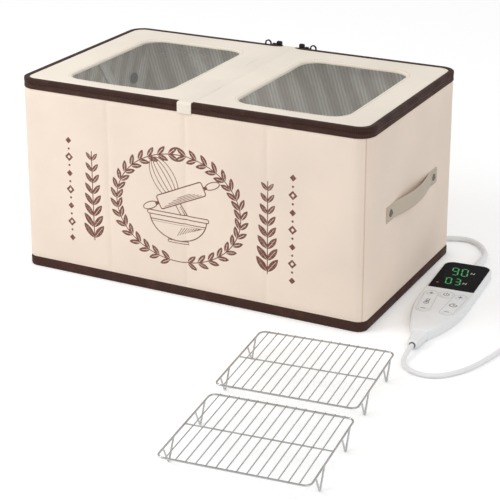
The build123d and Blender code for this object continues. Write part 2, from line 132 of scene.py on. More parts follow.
class ProoferColours(bpy.types.PropertyGroup):
    wall: colour("Wall cloth", "Cream cloth of the walls", 239, 222, 206)
    lid: colour("Lid cloth", "Cream cloth of the lid", 239, 229, 214)
    tape: colour("Binding", "Brown tape round the lid, the rim and the base", 62, 40, 33)
    ink: colour("Printed ink", "Ink of the printed design", 112, 66, 54)
    foil: colour("Foil", "Metallised lining", 248, 240, 230)
    webbing: colour("Webbing", "Handle straps", 205, 190, 171)
    zipper: colour("Zipper metal", "Sliders and pulls", 14, 13, 13)
    shell: colour("Controller shell", "Controller casing, relief sleeves and plug", 238, 239, 240)
    cord: colour("Cord", "Jacket of the cords", 240, 240, 240)
    screen: colour("Display", "Black display window", 16, 16, 17)
    digits: colour("Digits", "Lit figures of the display", 40, 176, 92)
    wire: colour("Rack wire", "Bright wire of the racks", 194, 194, 193)


class ProoferSizes(bpy.types.PropertyGroup):
    puff: distance("Panel puff", "How far each wall panel swells between its creases", 0.5)
    crease: distance("Crease depth", "How deep the cloth dips at a fold line", 0.7)
    crease_reach: distance("Crease reach", "Half the width of the dip at a fold line", 4.0)
    wave: distance("Cloth waves", "Height of the slack in the cloth", 0.28)
    corner_top: distance("Top corner", "Corner radius of the walls at the rim", 21.7)
    corner_foot: distance("Foot corner", "Corner radius of the walls at the base", 14.0)
    column_step: distance("Print columns", "Spacing of the points under the printed design", 0.8)
    coarse_step: distance("Plain columns", "Spacing of the points of plain cloth", 2.6)
    tape_bulge: distance("Tape bulge", "How far the tape rounds outward", 0.5)
    thread: distance("Thread", "Diameter of the sewing thread", 0.55)
    stitch: distance("Stitch length", "Length of one visible stitch", 2.7)
    stitch_pitch: distance("Stitch pitch", "Distance from one stitch to the next", 3.8)


# ---- Meshes ----
class Skin:
    """Gathers grids of points and loose solids into one mesh, with a material number for each face."""

    def __init__(self):
        self.points, self.corners, self.totals, self.slots = [], [], [], []
        self.uvs, self.inks, self.count = [], [], 0

    def add(self, points, faces, slots=0, uv=None, ink=None):
        """Adds points and faces; faces is an array with one row of corner numbers for each face."""
        points = np.asarray(points, float).reshape(-1, 3)
        faces = np.asarray(faces)
        self.points.append(points)
        self.corners.append((faces + self.count).ravel())
        self.totals.append(np.full(len(faces), faces.shape[1]))
        self.slots.append(np.broadcast_to(slots, len(faces)))
        self.uvs.append(np.zeros((len(points), 2)) if uv is None else np.asarray(uv).reshape(-1, 2))
        self.inks.append(np.zeros(len(points)) if ink is None else np.asarray(ink).ravel())
        self.count += len(points)
        return self

    def cap(self, ring, slot=0):
        """Closes a ring of points that are already there with one face."""
        self.corners.append(np.asarray(ring))
        self.totals.append(np.array([len(ring)]))
        self.slots.append(np.array([slot]))

    def mesh(self, name, materials, sharp=SHARP_EDGE):
        """The finished mesh, smooth but for edges sharper than the given angle in degrees."""
        points, corners = np.concatenate(self.points), np.concatenate(self.corners)
        totals = np.concatenate(self.totals)
        mesh = bpy.data.meshes.new(name)
        mesh.vertices.add(len(points))
        mesh.vertices.foreach_set("co", points.astype(np.float32).ravel())
        mesh.loops.add(len(corners))
        mesh.loops.foreach_set("vertex_index", corners.astype(np.int32))
        mesh.polygons.add(len(totals))
        mesh.polygons.foreach_set("loop_start", (np.cumsum(totals) - totals).astype(np.int32))
        for material in materials:
            mesh.materials.append(material)
        mesh.polygons.foreach_set("material_index", np.concatenate(self.slots).astype(np.int32))
        layer = mesh.uv_layers.new(name="Cloth")
        layer.data.foreach_set("uv", np.concatenate(self.uvs)[corners].astype(np.float32).ravel())
        ink = np.concatenate(self.inks)
        if ink.max() > 0:
            print_layer = mesh.attributes.new("ink", "FLOAT", "POINT")
            print_layer.data.foreach_set("value", ink.astype(np.float32))
        mesh.update(calc_edges=True)
        mesh.set_sharp_from_angle(angle=math.radians(sharp))
        return mesh


def grid(*values):
    """Points from their coordinates, each an array or a number that all the points share."""
    return np.stack(np.broadcast_arrays(*values), axis=-1)


def quads(rows, columns, rows_join=False, columns_join=False):
    """Corner numbers of the quads of a grid of rows x columns points, joined round either way if asked."""
    row = np.arange(rows if rows_join else rows - 1)[:, None]
    column = np.arange(columns if columns_join else columns - 1)[None, :]
    next_row, next_column = (row + 1) % rows, (column + 1) % columns
    corners = (
        row * columns + column,
        row * columns + next_column,
        next_row * columns + next_column,
        next_row * columns + column,
    )
    return grid(*corners).reshape(-1, 4)


def tube(skin, points, slots=0, uv=None, ink=None, closed=False):
    """Adds a profile carried along a path: points is rows (round the profile) x columns (along it) x 3.

    Faces look outward where the way along crossed with the way round points out.
    """
    rows, columns = points.shape[:2]
    slots = np.broadcast_to(slots, rows)
    first = skin.count
    per_row = columns if closed else columns - 1
    faces = quads(rows, columns, rows_join=True, columns_join=closed)
    skin.add(points, faces, np.repeat(slots, per_row), uv, ink)
    if not closed:
        ring = np.arange(rows) * columns
        skin.cap(first + ring, slots[0])
        skin.cap(first + ring[::-1] + columns - 1, slots[0])
    return skin


def dome(skin, points, uv):
    """Adds rings of points from the middle of the underside, round the rim, to the middle of the top."""
    rows, columns = points.shape[:2]
    first = skin.count
    skin.add(points, quads(rows, columns, columns_join=True), 0, uv)
    ring = np.arange(columns)
    skin.cap(first + ring[::-1])
    skin.cap(first + ring + (rows - 1) * columns)
    return skin


def unit(vectors):
    """Vectors scaled to a length of 1."""
    return vectors / np.linalg.norm(vectors, axis=-1, keepdims=True)


def distances(path):
    """Distance along a path to each of its points."""
    return np.concatenate([[0], np.cumsum(np.linalg.norm(np.diff(path, axis=0), axis=1))])


def circle(count):
    """Even angles round a circle, in radians."""
    return np.linspace(0, 2 * math.pi, count, endpoint=False)


def squared(value, power):
    """A sine or a cosine raised to a power below 1, with its sign kept, which squares a circle."""
    return np.sign(value) * np.abs(value) ** power


def ways(path, closed=False):
    """The direction of a path at each of its points."""
    if closed:
        return unit(np.roll(path, -1, axis=0) - np.roll(path, 1, axis=0))
    return unit(np.gradient(path, axis=0))


def sleeve(skin, path, wide, tall, up=(0, 0, 1), square=1.0, count=24, closed=False):
    """Adds an oval body along a path, with its half width and half height at each point.

    The section at angle a is (wide cos a, tall sin a), each part raised to a power below 1 for a squarer one.
    """
    path = np.asarray(path, float)
    along = ways(path, closed)
    side = unit(np.cross(np.asarray(up, float), along))
    rise = np.cross(side, along)
    wide, tall = (np.broadcast_to(half, len(path)) for half in (wide, tall))
    angle = circle(count)[:, None] + math.pi / count
    across = squared(np.cos(angle), square) * wide
    upward = squared(np.sin(angle), square) * tall
    points = path[None] + across[..., None] * side[None] + upward[..., None] * rise[None]
    uv = grid(distances(path), angle * np.mean(wide))
    return tube(skin, points, 0, uv, closed=closed)


def turning(skin, start, end, profile):
    """Adds a turned solid between two points: profile is pairs of share of the way and radius."""
    start, end = np.asarray(start, float), np.asarray(end, float)
    share, radius = np.array(profile, float).T
    along = unit(end - start)
    up = (1, 0, 0) if abs(along[0]) < 0.9 else (0, 0, 1)
    side = unit(np.cross(up, along))
    rise = np.cross(side, along)
    angle = circle(TURNED_POINTS)[:, None]
    spoke = np.cos(angle)[..., None] * side + np.sin(angle)[..., None] * rise
    points = start + share[None, :, None] * (end - start) + radius[None, :, None] * spoke
    return tube(skin, points)


def grain(half_length, half_width):
    """A small round-ended solid that lies along its first axis, as points and faces for repeat()."""
    along = np.array([-1, -0.75, 0, 0.75, 1]) * half_length
    width = np.array([0.2, 0.8, 1, 0.8, 0.2]) * half_width
    sink = np.array([1.1, 0.35, 0, 0.35, 1.1]) * half_width
    spoke = np.radians(np.arange(5) * 72 + 18)
    out = np.cos(spoke)[None] * width[:, None] - sink[:, None]
    across = np.sin(spoke)[None] * width[:, None]
    points = grid(along[:, None], out, across).reshape(-1, 3)
    return points, quads(5, 5, columns_join=True), ((4, 3, 2, 1, 0), (20, 21, 22, 23, 24))


def tooth(long, out, tall):
    """A small tapered block that lies across its path, as points and faces for repeat()."""
    signs = np.array([(a, b, c) for a in (-1, 1) for b in (-1, 1) for c in (-1, 1)])
    points = signs * np.array([long, out, tall]) / 2
    points[:, 0] *= np.where(signs[:, 1] > 0, 0.6, 1.0)
    faces = np.array(
        [(0, 1, 3, 2), (4, 6, 7, 5), (0, 4, 5, 1), (2, 3, 7, 6), (0, 2, 6, 4), (1, 5, 7, 3)]
    )
    return points, faces, ()


def read_off(values, along, places):
    """Vectors given at distances along a path, read off at other places on it."""
    return np.stack([np.interp(places, along, values[:, axis]) for axis in range(3)], axis=-1)


def repeat(skin, path, outward, solid, pitch, slot, closed=False, start=0.5):
    """Sets a small solid again and again along a path, a pitch apart, with its second axis outward."""
    points, faces, caps = solid
    path = np.asarray(path, float)
    if closed:
        path, outward = np.concatenate([path, path[:1]]), np.concatenate([outward, outward[:1]])
    along = distances(path)
    count = max(1, int(along[-1] / pitch))
    places = (np.arange(count) + start) * along[-1] / count
    step = 0.1 * pitch
    centre = read_off(path, along, places)
    out = unit(read_off(outward, along, places))
    way = unit(read_off(path, along, places + step) - read_off(path, along, places - step))
    across = np.cross(way, out)
    frames = np.stack([way, out, across], axis=1)
    placed = centre[:, None] + np.einsum("pk,nkc->npc", points, frames)
    shift = (np.arange(count) * len(points))[:, None, None]
    first = skin.count
    skin.add(placed, (faces[None] + shift).reshape(-1, faces.shape[1]), slot)
    for cap in caps:
        ring = np.array(cap)[None] + shift[:, 0]
        skin.corners.append((ring + first).ravel())
        skin.totals.append(np.full(count, len(cap)))
        skin.slots.append(np.full(count, slot))
    return skin


def piece(name, skin, finishes, body=None, replaced=(), sharp=SHARP_EDGE):
    """A new object for a skin, with its finishes, body and the frame nodes it stands for."""
    mesh = skin.mesh(name, [MATERIALS[finish] for finish in finishes], sharp)
    thing = bpy.data.objects.new(name, mesh)
    bpy.context.scene.collection.objects.link(thing)
    if replaced:
        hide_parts(*replaced)
    if body:
        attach(thing, body)
    return thing


# ---- Paths round the box, each a chain of straights and bends, counter-clockwise seen from above ----
CREASE_REACH, CREASE_STEP = 2.2 * MM, 0.45 * MM


def stations(start, end, step, crease):
    """Places from start to end, about step apart, and finer within reach of the crease."""
    ahead = 1 if end > start else -1
    count = max(2, round(abs(end - start) / step) + 1)
    places = np.linspace(start, end, count)
    places = [p for p in places if abs(p - crease) > CREASE_REACH or p in (start, end)]
    near = np.arange(-CREASE_REACH, CREASE_REACH + CREASE_STEP / 2, CREASE_STEP) + crease
    places += [p for p in near if min(start, end) < p < max(start, end)]
    return np.array(sorted(set(np.round(places, 7)), key=lambda p: ahead * p))


def straight(start, end, shares):
    """A straight run for trace(), from start to end."""
    return "straight", start, end, shares


def bend(centre, radius, first, last, shares):
    """A bend for trace(), about a centre, from one angle in degrees to another."""
    return "bend", centre, radius, first, last, shares


def trace(runs, inset):
    """x, y and the outward normal along a chain of runs, drawn inward by inset.

    A straight goes from start to end at the given shares of its length, and a bend turns about its centre
    from the first angle to the last. Radii, ends and insets may be columns, one value for each row.
    """
    rows = np.shape(inset)[0]
    parts = []
    for run in runs:
        if run[0] == "straight":
            (x0, y0), (x1, y1), t = run[1:]
            run_x, run_y = np.mean(x1 - x0), np.mean(y1 - y0)
            size = math.hypot(run_x, run_y)
            normal_x, normal_y = run_y / size, -run_x / size
            x, y = x0 + (x1 - x0) * t, y0 + (y1 - y0) * t
            normals = np.full(np.shape(t), normal_x), np.full(np.shape(t), normal_y)
        else:
            (cx, cy), radius, first, last, t = run[1:]
            angle = np.radians(first + (last - first) * t)
            normals = np.cos(angle), np.sin(angle)
            x, y = cx + radius * normals[0], cy + radius * normals[1]
        shape = (rows, len(t))
        parts.append([np.broadcast_to(v, shape) for v in (x, y, *normals)])
    x, y, nx, ny = (np.concatenate(each, axis=1) for each in zip(*parts))
    return x - inset * nx, y - inset * ny, nx, ny


def even(count, skip_first=True):
    """Even shares from 0 to 1, without the first where the run before ends there."""
    return np.linspace(0, 1, count + 1)[1 if skip_first else 0:]


def c_path(side, half_x, half_y, radius, start_x, count):
    """The C of one end: from its hinge line round two corners and back, counter-clockwise from above.

    side is 1 for the right end and -1 for the left. count is a corner's shares, then the steps along the
    end face and along each short straight.
    """
    corner, face, short = count
    inner_x, inner_y = half_x - radius, half_y - radius
    turn = 0 if side > 0 else 180
    first, second = (-1, 1) if side > 0 else (1, -1)
    return [
        straight((side * start_x, first * half_y), (side * inner_x, first * half_y), even(short, False)),
        bend((side * inner_x, first * inner_y), radius, turn - 90, turn, corner),
        straight((side * half_x, first * inner_y), (side * half_x, second * inner_y), even(face)),
        bend((side * inner_x, second * inner_y), radius, turn, turn + 90, corner),
        straight((side * inner_x, second * half_y), (side * start_x, second * half_y), even(short)),
    ]


def loop_path(half_x, half_y, radius, corner, along):
    """A whole rounded rectangle, counter-clockwise from the front left."""
    x, y = half_x - radius, half_y - radius
    long_side, short_side = even(along), even(max(2, round(along * y / x)))
    return [
        straight((-x, -half_y), (x, -half_y), long_side),
        bend((x, -y), radius, -90, 0, even(corner)),
        straight((half_x, -y), (half_x, y), short_side),
        bend((x, y), radius, 0, 90, even(corner)),
        straight((x, half_y), (-x, half_y), long_side),
        bend((-x, y), radius, 90, 180, even(corner)),
        straight((-half_x, y), (-half_x, -y), short_side),
        bend((-x, -y), radius, 180, 270, even(corner)),
    ]


def run_length(x, y):
    """Distance along each row of points, from 0."""
    step = np.hypot(np.diff(x, axis=1), np.diff(y, axis=1))
    return np.concatenate([np.zeros((len(x), 1)), np.cumsum(step, axis=1)], axis=1)


TAPE_SQUARE, TAPE_POINTS = 0.32, 28


def tape_profile(low_z, high_z, width, bulge, ribs):
    """Inset and height round a folded tape: a rounded rectangle whose outer side bulges and is ribbed.

    The point at angle a is (cos a, sin a) with each part raised to a small power, which squares the circle.
    """
    angle = circle(TAPE_POINTS) + math.pi / TAPE_POINTS - math.pi / 2
    across = squared(np.cos(angle), TAPE_SQUARE)
    upward = squared(np.sin(angle), TAPE_SQUARE)
    z = low_z + (high_z - low_z) * (1 + upward) / 2
    swell = bulge * (1 - upward**2) + ribs * np.cos(3 * math.pi * upward)
    inset = width * (1 - across) / 2 - np.where(across > 0, swell, 0)
    return inset[:, None], z[:, None]


def stitches(skin, path, outward, sizes, slot, closed=False):
    """A row of stitches along a path: threads that dip into the cloth at both ends."""
    solid = grain(sizes.stitch / 2, sizes.thread / 2)
    return repeat(skin, path, outward, solid, sizes.stitch_pitch, slot, closed)


# ---- Materials ----
class Nodes:
    """A material's node tree with its Principled shader, and short ways to add to it."""

    def __init__(self, name, base, roughness, **values):
        self.material = bpy.data.materials.new(name)
        self.material.use_nodes = True
        self.tree = self.material.node_tree
        self.shader = self.tree.nodes["Principled BSDF"]
        self.set("Base Color", (*base, 1))
        self.set("Roughness", roughness)
        for key, value in values.items():
            self.set(key.replace("_", " "), value)
        self.height = None

    def set(self, socket, value):
        self.shader.inputs[socket].default_value = value

    def add(self, kind, link=None, **values):
        """A node of a kind; values name its settings or, capitalised, its sockets."""
        node = self.tree.nodes.new("ShaderNode" + kind)
        for key, value in values.items():
            if key[0].isupper():
                node.inputs[key.replace("_", " ")].default_value = value
            else:
                setattr(node, key, value)
        for socket, source in (link or {}).items():
            self.tree.links.new(source, node.inputs[socket])
        return node

    def coordinate(self, kind="Object", scale=(1, 1, 1), turn=(0, 0, 0)):
        place = self.add("TexCoord").outputs[kind]
        return self.add("Mapping", {"Vector": place}, Scale=scale, Rotation=turn).outputs["Vector"]

    def mix(self, factor, one, two):
        """A colour mix by an output; one and two are colours or outputs."""
        node = self.add("Mix", {0: factor}, data_type="RGBA")
        for number, value in ((6, one), (7, two)):
            if isinstance(value, bpy.types.NodeSocket):
                self.tree.links.new(value, node.inputs[number])
            else:
                node.inputs[number].default_value = (*value, 1)
        return node.outputs[2]

    def multiply(self, one, two):
        return self.add("Math", {0: one, 1: two}, operation="MULTIPLY").outputs[0]

    def ramp(self, source, low_in, high_in, low_out=0.0, high_out=1.0):
        """A smooth step of an output, from low_out below low_in to high_out above high_in."""
        node = self.add("MapRange", {"Value": source}, interpolation_type="SMOOTHSTEP")
        for number, value in enumerate((low_in, high_in, low_out, high_out), start=1):
            node.inputs[number].default_value = value
        return node.outputs[0]

    def noise(self, scale, detail=2.0, vector=None, roughness=0.5):
        place = vector or self.coordinate()
        node = self.add("TexNoise", {"Vector": place}, Scale=scale, Detail=detail, Roughness=roughness)
        return node.outputs[0]

    def wave(self, pitch, direction, vector, **values):
        """Bands a pitch apart, set off along X or Y; the texture has 20 radians in a unit at scale 1."""
        values["Scale"] = 2 * math.pi / (20 * pitch)
        return self.add("TexWave", {"Vector": vector}, bands_direction=direction, **values).outputs[1]

    def bump(self, source, strength, depth):
        """Adds a height to the surface, on top of the bumps already there."""
        node = self.add("Bump", {"Height": source}, Strength=strength, Distance=depth)
        if self.height:
            self.tree.links.new(self.height, node.inputs["Normal"])
        self.height = node.outputs["Normal"]
        self.tree.links.new(self.height, self.shader.inputs["Normal"])

    def colour(self, source):
        self.tree.links.new(source, self.shader.inputs["Base Color"])

    def roughness(self, source):
        self.tree.links.new(source, self.shader.inputs["Roughness"])


def shade(base, share):
    """A colour made darker or lighter by a share."""
    return tuple(min(1.0, value * share) for value in base)


def weave(nodes, pitch, strength, depth, vector):
    """A plain weave: two crossed waves a thread apart, one for each way that the threads run."""
    bands = [nodes.wave(pitch, way, vector, Distortion=0.6, Detail=1.0) for way in ("X", "Y")]
    nodes.bump(nodes.multiply(*bands), strength, depth)


DUST = 0.05


def cloth_material(name, base, ink=None):
    """Coated cloth: a fine weave, soft slack and slow changes of tone, with ink where it is printed."""
    nodes = Nodes(name, base, 0.72, Sheen_Weight=0.12, Sheen_Roughness=0.5, Specular_IOR_Level=0.3)
    plane = nodes.coordinate("UV")
    slow = nodes.noise(9.0, 3.0)
    cloud = nodes.ramp(slow, 0.3, 0.7)
    surface = nodes.mix(cloud, shade(base, 1 - DUST), shade(base, 1 + DUST * 0.35))
    fleck = nodes.ramp(nodes.noise(900.0, 2.0), 0.62, 0.8)
    surface = nodes.mix(fleck, surface, shade(base, 0.93))
    if ink:
        cover = nodes.add("Attribute", attribute_name="ink").outputs["Fac"]
        printed = nodes.ramp(cover, 0.48, 0.52)
        worn = nodes.ramp(nodes.noise(420.0, 3.0), 0.3, 0.55, 0.78, 1.0)
        surface = nodes.mix(nodes.multiply(printed, worn), surface, ink)
    nodes.colour(surface)
    nodes.bump(nodes.noise(26.0, 3.0), 0.18, 0.002)
    weave(nodes, 0.75 * MM, 0.22, 0.00012, plane)
    nodes.roughness(nodes.ramp(slow, 0.3, 0.7, 0.66, 0.78))
    return nodes.material


def tape_material(name, base):
    """Ribbed binding tape: cross ribs a little over a millimetre apart and patches worn a little paler."""
    nodes = Nodes(name, base, 0.7, Sheen_Weight=0.03, Sheen_Roughness=0.45, Specular_IOR_Level=0.16)
    plane = nodes.coordinate("UV")
    worn = nodes.ramp(nodes.noise(60.0, 4.0), 0.45, 0.75)
    nodes.colour(nodes.mix(worn, shade(base, 0.85), shade(base, 1.2)))
    nodes.bump(nodes.wave(1.3 * MM, "X", plane), 0.35, 0.00015)
    nodes.bump(nodes.noise(1400.0, 2.0), 0.25, 0.0001)
    nodes.roughness(nodes.ramp(nodes.noise(35.0, 2.0), 0.3, 0.7, 0.6, 0.78))
    return nodes.material


def foil_material(name, base):
    """Metallised lining: fine embossed steep ribs with painted shade in their grooves, broad streaks with
    painted light and shade, crinkle, and patches of painted glint highlights.
    """
    nodes = Nodes(name, base, 0.38, Metallic=0.5)
    slant = nodes.coordinate("UV", turn=(0, 0, math.radians(-17)))
    ribs = nodes.wave(5.2 * MM, "X", slant, Distortion=0.6, Detail=1.0, Detail_Scale=2.0)
    broad = nodes.coordinate("UV", turn=(0, 0, math.radians(-22)))
    streaks = nodes.wave(34 * MM, "X", broad, Distortion=2.5, Detail=2.0)
    crinkle = nodes.noise(110.0, 3.0, roughness=0.6)
    nodes.bump(crinkle, 0.12, 0.0012)
    nodes.bump(streaks, 0.3, 0.0022)
    nodes.bump(ribs, 0.5, 0.0005)
    # Painted light and painted shade: the broad streaks are also drawn into the colour as lighter and darker
    # bands over the streak bumps.
    lit = nodes.mix(nodes.ramp(streaks, 0.15, 0.85), shade(base, 0.78), shade(base, 1.18))
    # Painted shade: the colour is darker in the grooves of the embossed ribs.
    surface = nodes.mix(nodes.ramp(ribs, 0.0, 1.0, 0.0, 0.5), lit, shade(base, 0.5))
    # Painted highlights: small near-white spots in a few patches stand in for glints off crinkled foil.
    painted_glints = nodes.ramp(nodes.noise(150.0, 1.0, nodes.coordinate(scale=(1, 1, 2.6))), 0.6, 0.68)
    painted_glint_patch = nodes.ramp(nodes.noise(11.0, 2.0), 0.52, 0.62)
    nodes.colour(nodes.mix(nodes.multiply(painted_glints, painted_glint_patch), surface, tone(255, 255, 252)))
    nodes.roughness(nodes.ramp(crinkle, 0.35, 0.65, 0.3, 0.5))
    return nodes.material


def webbing_material(name, base):
    """Woven strap: ribs along it and fine picks across it, with painted shade that darkens the grooves a
    little.
    """
    nodes = Nodes(name, base, 0.68, Sheen_Weight=0.2, Sheen_Roughness=0.4)
    plane = nodes.coordinate("UV")
    ribs = nodes.wave(2.0 * MM, "Y", plane)
    picks = nodes.wave(1.1 * MM, "X", plane, Distortion=1.0)
    nodes.bump(ribs, 0.6, 0.0004)
    nodes.bump(picks, 0.5, 0.0002)
    # Painted shade: the colour is darker in the grooves between the ribs and between the picks.
    groove = nodes.mix(ribs, shade(base, 0.8), shade(base, 1.05))
    nodes.colour(nodes.mix(nodes.ramp(picks, 0.0, 0.5, 0.25, 0.0), groove, shade(base, 0.7)))
    return nodes.material


def plastic_material(name, base, roughness, grain=0.0004, coat=0.0, specular=0.5):
    """Moulded plastic: faint mould grain, a slow change of gloss and a trace of rubbing."""
    values = {"Coat_Weight": coat, "Coat_Roughness": 0.12, "Specular_IOR_Level": specular}
    nodes = Nodes(name, base, roughness, **values)
    slow = nodes.noise(22.0, 3.0)
    nodes.colour(nodes.mix(nodes.ramp(slow, 0.35, 0.7), shade(base, 0.97), shade(base, 1.02)))
    nodes.bump(nodes.noise(1800.0, 2.0), 0.06, grain)
    nodes.roughness(nodes.ramp(slow, 0.3, 0.7, roughness * 0.85, roughness * 1.2))
    return nodes.material


def metal_material(name, base, roughness, brush=300.0, metallic=1.0):
    """Metal: fine scratches, tiny dents and patches that are a little duller."""
    nodes = Nodes(name, base, roughness, Metallic=metallic)
    scratch = nodes.noise(brush, 4.0, nodes.coordinate(scale=(1, 6, 1)))
    nodes.bump(scratch, 0.12, 0.0003)
    nodes.colour(nodes.mix(nodes.ramp(nodes.noise(40.0, 2.0), 0.4, 0.7), shade(base, 0.85), base))
    nodes.roughness(nodes.ramp(scratch, 0.3, 0.7, roughness * 0.7, roughness * 1.4))
    return nodes.material


def film_material(name):
    """Clear window film: nearly see-through, with faint haze and shallow ripples."""
    nodes = Nodes(name, tone(222, 224, 220), 0.1, Alpha=0.08, Specular_IOR_Level=0.8)
    nodes.bump(nodes.noise(18.0, 2.0), 0.12, 0.002)
    nodes.colour(nodes.mix(nodes.noise(30.0, 2.0), tone(214, 216, 212), tone(232, 233, 230)))
    nodes.material.surface_render_method = "BLENDED"
    return nodes.material


def glow_material(name, base, strength):
    """A lit mark: its own light, slightly uneven as behind smoked plastic."""
    nodes = Nodes(name, shade(base, 0.3), 0.4, Emission_Strength=strength)
    lit = nodes.mix(nodes.noise(700.0, 2.0), shade(base, 0.85), base)
    nodes.tree.links.new(lit, nodes.shader.inputs["Emission Color"])
    return nodes.material


MATERIALS = {}


def make_materials(colours):
    """All the finishes, by name."""
    made = {
        "wall_cloth": cloth_material("wall_cloth", colours.wall, ink=colours.ink),
        "lid_cloth": cloth_material("lid_cloth", colours.lid),
        "band_cloth": cloth_material("band_cloth", shade(colours.lid, 0.98)),
        "base_cloth": cloth_material("base_cloth", shade(colours.wall, 0.9)),
        "tape": tape_material("binding_tape", colours.tape),
        "lower_tape": tape_material("lower_binding_tape", shade(colours.tape, 1.25)),
        "teeth": plastic_material("zipper_teeth", shade(colours.tape, 1.9), 0.35),
        "thread": tape_material("sewing_thread", shade(colours.tape, 1.5)),
        "pale_thread": tape_material("pale_thread", shade(colours.webbing, 0.9)),
        "foil": foil_material("foil_lining", colours.foil),
        "webbing": webbing_material("strap_webbing", colours.webbing),
        "pale_webbing": webbing_material("pale_strap_webbing", tone(246, 243, 236)),
        "rivet": metal_material("rivet_metal", tone(120, 112, 104), 0.3),
        "zipper": metal_material("zipper_metal", colours.zipper, 0.42, metallic=0.1),
        "film": film_material("window_film"),
        "shell": plastic_material("controller_shell", colours.shell, 0.36, coat=0.12),
        "button": plastic_material("controller_button", shade(colours.shell, 0.97), 0.34),
        "screen": plastic_material("display_window", colours.screen, 0.3, 0.0001, specular=0.015),
        "board": plastic_material("circuit_green", tone(34, 92, 60), 0.4),
        "card": plastic_material("stiffening_card", tone(176, 164, 146), 0.8),
        # The ridges are the shell's plastic made darker, as painted shade along the raised lines.
        "painted_shade_ridge": plastic_material("button_ridge_painted_shade", shade(colours.shell, 0.74), 0.4),
        "mark": plastic_material("printed_mark", tone(118, 119, 121), 0.6),
        "digits": glow_material("lit_digits", colours.digits, 0.55),
        "warm_light": glow_material("lit_unit_marks", tone(206, 190, 160), 0.45),
        "red_light": glow_material("red_indicator", tone(170, 60, 60), 0.4),
        "cord": plastic_material("cord_jacket", colours.cord, 0.32, coat=0.3),
        "blade": metal_material("blade_metal", tone(196, 180, 140), 0.25),
        "wire": metal_material("rack_wire", colours.wire, 0.16, brush=120.0),
        "heater_wire": plastic_material("heater_wire_jacket", tone(186, 60, 44), 0.45),
        "grommet": plastic_material("dark_grommet", tone(70, 66, 60), 0.5),
    }
    MATERIALS.update(made)


def finish_nodes(names, material):
    """Gives frame nodes that stay as they are their finish."""
    for name in names:
        slots = frame["nodes"][name].data.materials
        if len(slots):
            for number in range(len(slots)):
                slots[number] = MATERIALS[material]
        else:
            slots.append(MATERIALS[material])


# ---- Cloth surface ----
def slack(s, z, seed):
    """Soft waves of slack cloth, about -1 to 1: four slow sines across and up, each with its own slant."""
    waves = (
        (0.110, 0.31, 1.7, 0.40),
        (0.067, -0.52, 4.1, 0.28),
        (0.043, 0.85, 0.6, 0.20),
        (0.150, -0.18, 2.9, 0.35),
    )
    return sum(
        share * np.sin(2 * math.pi * (s + slant * z) / span + phase * seed)
        for span, slant, phase, share in waves
    )


def bell(away, reach):
    """1 at no distance and falling to 0 past reach, as exp(-(away / reach)^2)."""
    return np.exp(-((away / reach) ** 2))


def dip(s, places, reach):
    """The sum of a bell at each place."""
    return sum(bell(s - place, reach) for place in places)


def wall_rows(step, fine=None, band=None):
    """Heights of a wall's rows, closer together at the top, at the foot and, if asked, in a band."""
    edge = 4 * MM
    middle = np.arange(WALL_LOW + edge, WALL_HIGH - edge, step)
    if band:
        middle = middle[(middle < band[0]) | (middle > band[1])]
        middle = np.concatenate([middle, np.arange(band[0], band[1], fine)])
    foot = WALL_LOW + np.linspace(0, edge, 4)
    top = WALL_HIGH - np.linspace(edge, 0, 4)
    return np.unique(np.round(np.concatenate([foot, middle, top]), 6))


END_REACH, TUCK_REACH, PUCKER_REACH = 12 * MM, 3 * MM, 22 * MM


def wall_relief(s, z, folds, ends, sizes, seed):
    """How far the outer cloth stands out: it swells between folds, dips at them and tucks in at its edges.

    Its waves die away at the ends, where the next stretch of wall takes over.
    """
    creases = dip(s, folds, sizes.crease_reach)
    loose = 1 - np.minimum(1, dip(s, ends, END_REACH))
    tuck = bell(z - WALL_LOW, TUCK_REACH) + bell(WALL_HIGH - z, TUCK_REACH)
    near_top = bell(WALL_HIGH - z, PUCKER_REACH)
    pucker = 0.35 * sizes.wave * near_top * np.sin(s / (5.5 * MM) + 3 * np.sin(s / (31 * MM)))
    waves = (sizes.wave * slack(s, z, seed) * (1 - creases) + pucker) * loose
    swell = sizes.puff * (1 - creases) + waves
    return (swell - sizes.crease * creases) * (1 - 0.9 * tuck) - 0.25 * MM * tuck


QUILT_CELL = 24 * MM


def quilting(s, z):
    """The lining's quilted pillows, from 0 along their seams to 1 in their middles."""
    return np.abs(np.sin(math.pi * (s + z) / QUILT_CELL) * np.sin(math.pi * (s - z) / QUILT_CELL))


# ---- The printed design ----
def to_line(x, z, line):
    """Distance from points to a straight line's nearest point."""
    (x0, z0), (x1, z1) = line
    run_x, run_z = x1 - x0, z1 - z0
    t = np.clip(((x - x0) * run_x + (z - z0) * run_z) / (run_x**2 + run_z**2), 0, 1)
    return np.hypot(x - x0 - t * run_x, z - z0 - t * run_z)


def turned(x, z, centre, degrees):
    """Points in the axes of a motif that stands at centre, turned by an angle."""
    angle = math.radians(degrees)
    u, v = x - centre[0], z - centre[1]
    return u * math.cos(angle) + v * math.sin(angle), -u * math.sin(angle) + v * math.cos(angle)


def oval(u, v, half_u, half_v):
    """About how far points are outside an oval, less than 0 inside it."""
    share = np.hypot(u / half_u, v / half_v)
    slope = np.hypot(u / half_u**2, v / half_v**2) / np.maximum(share, 1e-6)
    return (share - 1) / np.maximum(slope, 1e-6)


def bar(u, v, half_u, half_v, corner):
    """How far points are outside a rounded bar, less than 0 inside it."""
    du, dv = np.abs(u) - half_u + corner, np.abs(v) - half_v + corner
    outside = np.hypot(np.maximum(du, 0), np.maximum(dv, 0))
    return outside + np.minimum(np.maximum(du, dv), 0) - corner


def leaf(u, v, length, breadth):
    """How far points are outside a leaf from (0, 0) to (length, 0): two arcs that meet at both tips."""
    half, rise = length / 2, breadth / 2
    radius = (half**2 + rise**2) / (2 * rise)
    return np.hypot(u - half, np.abs(v) + radius - rise) - radius


def stroke(away, width):
    """A line drawn along an edge, width across."""
    return np.abs(away) - width / 2


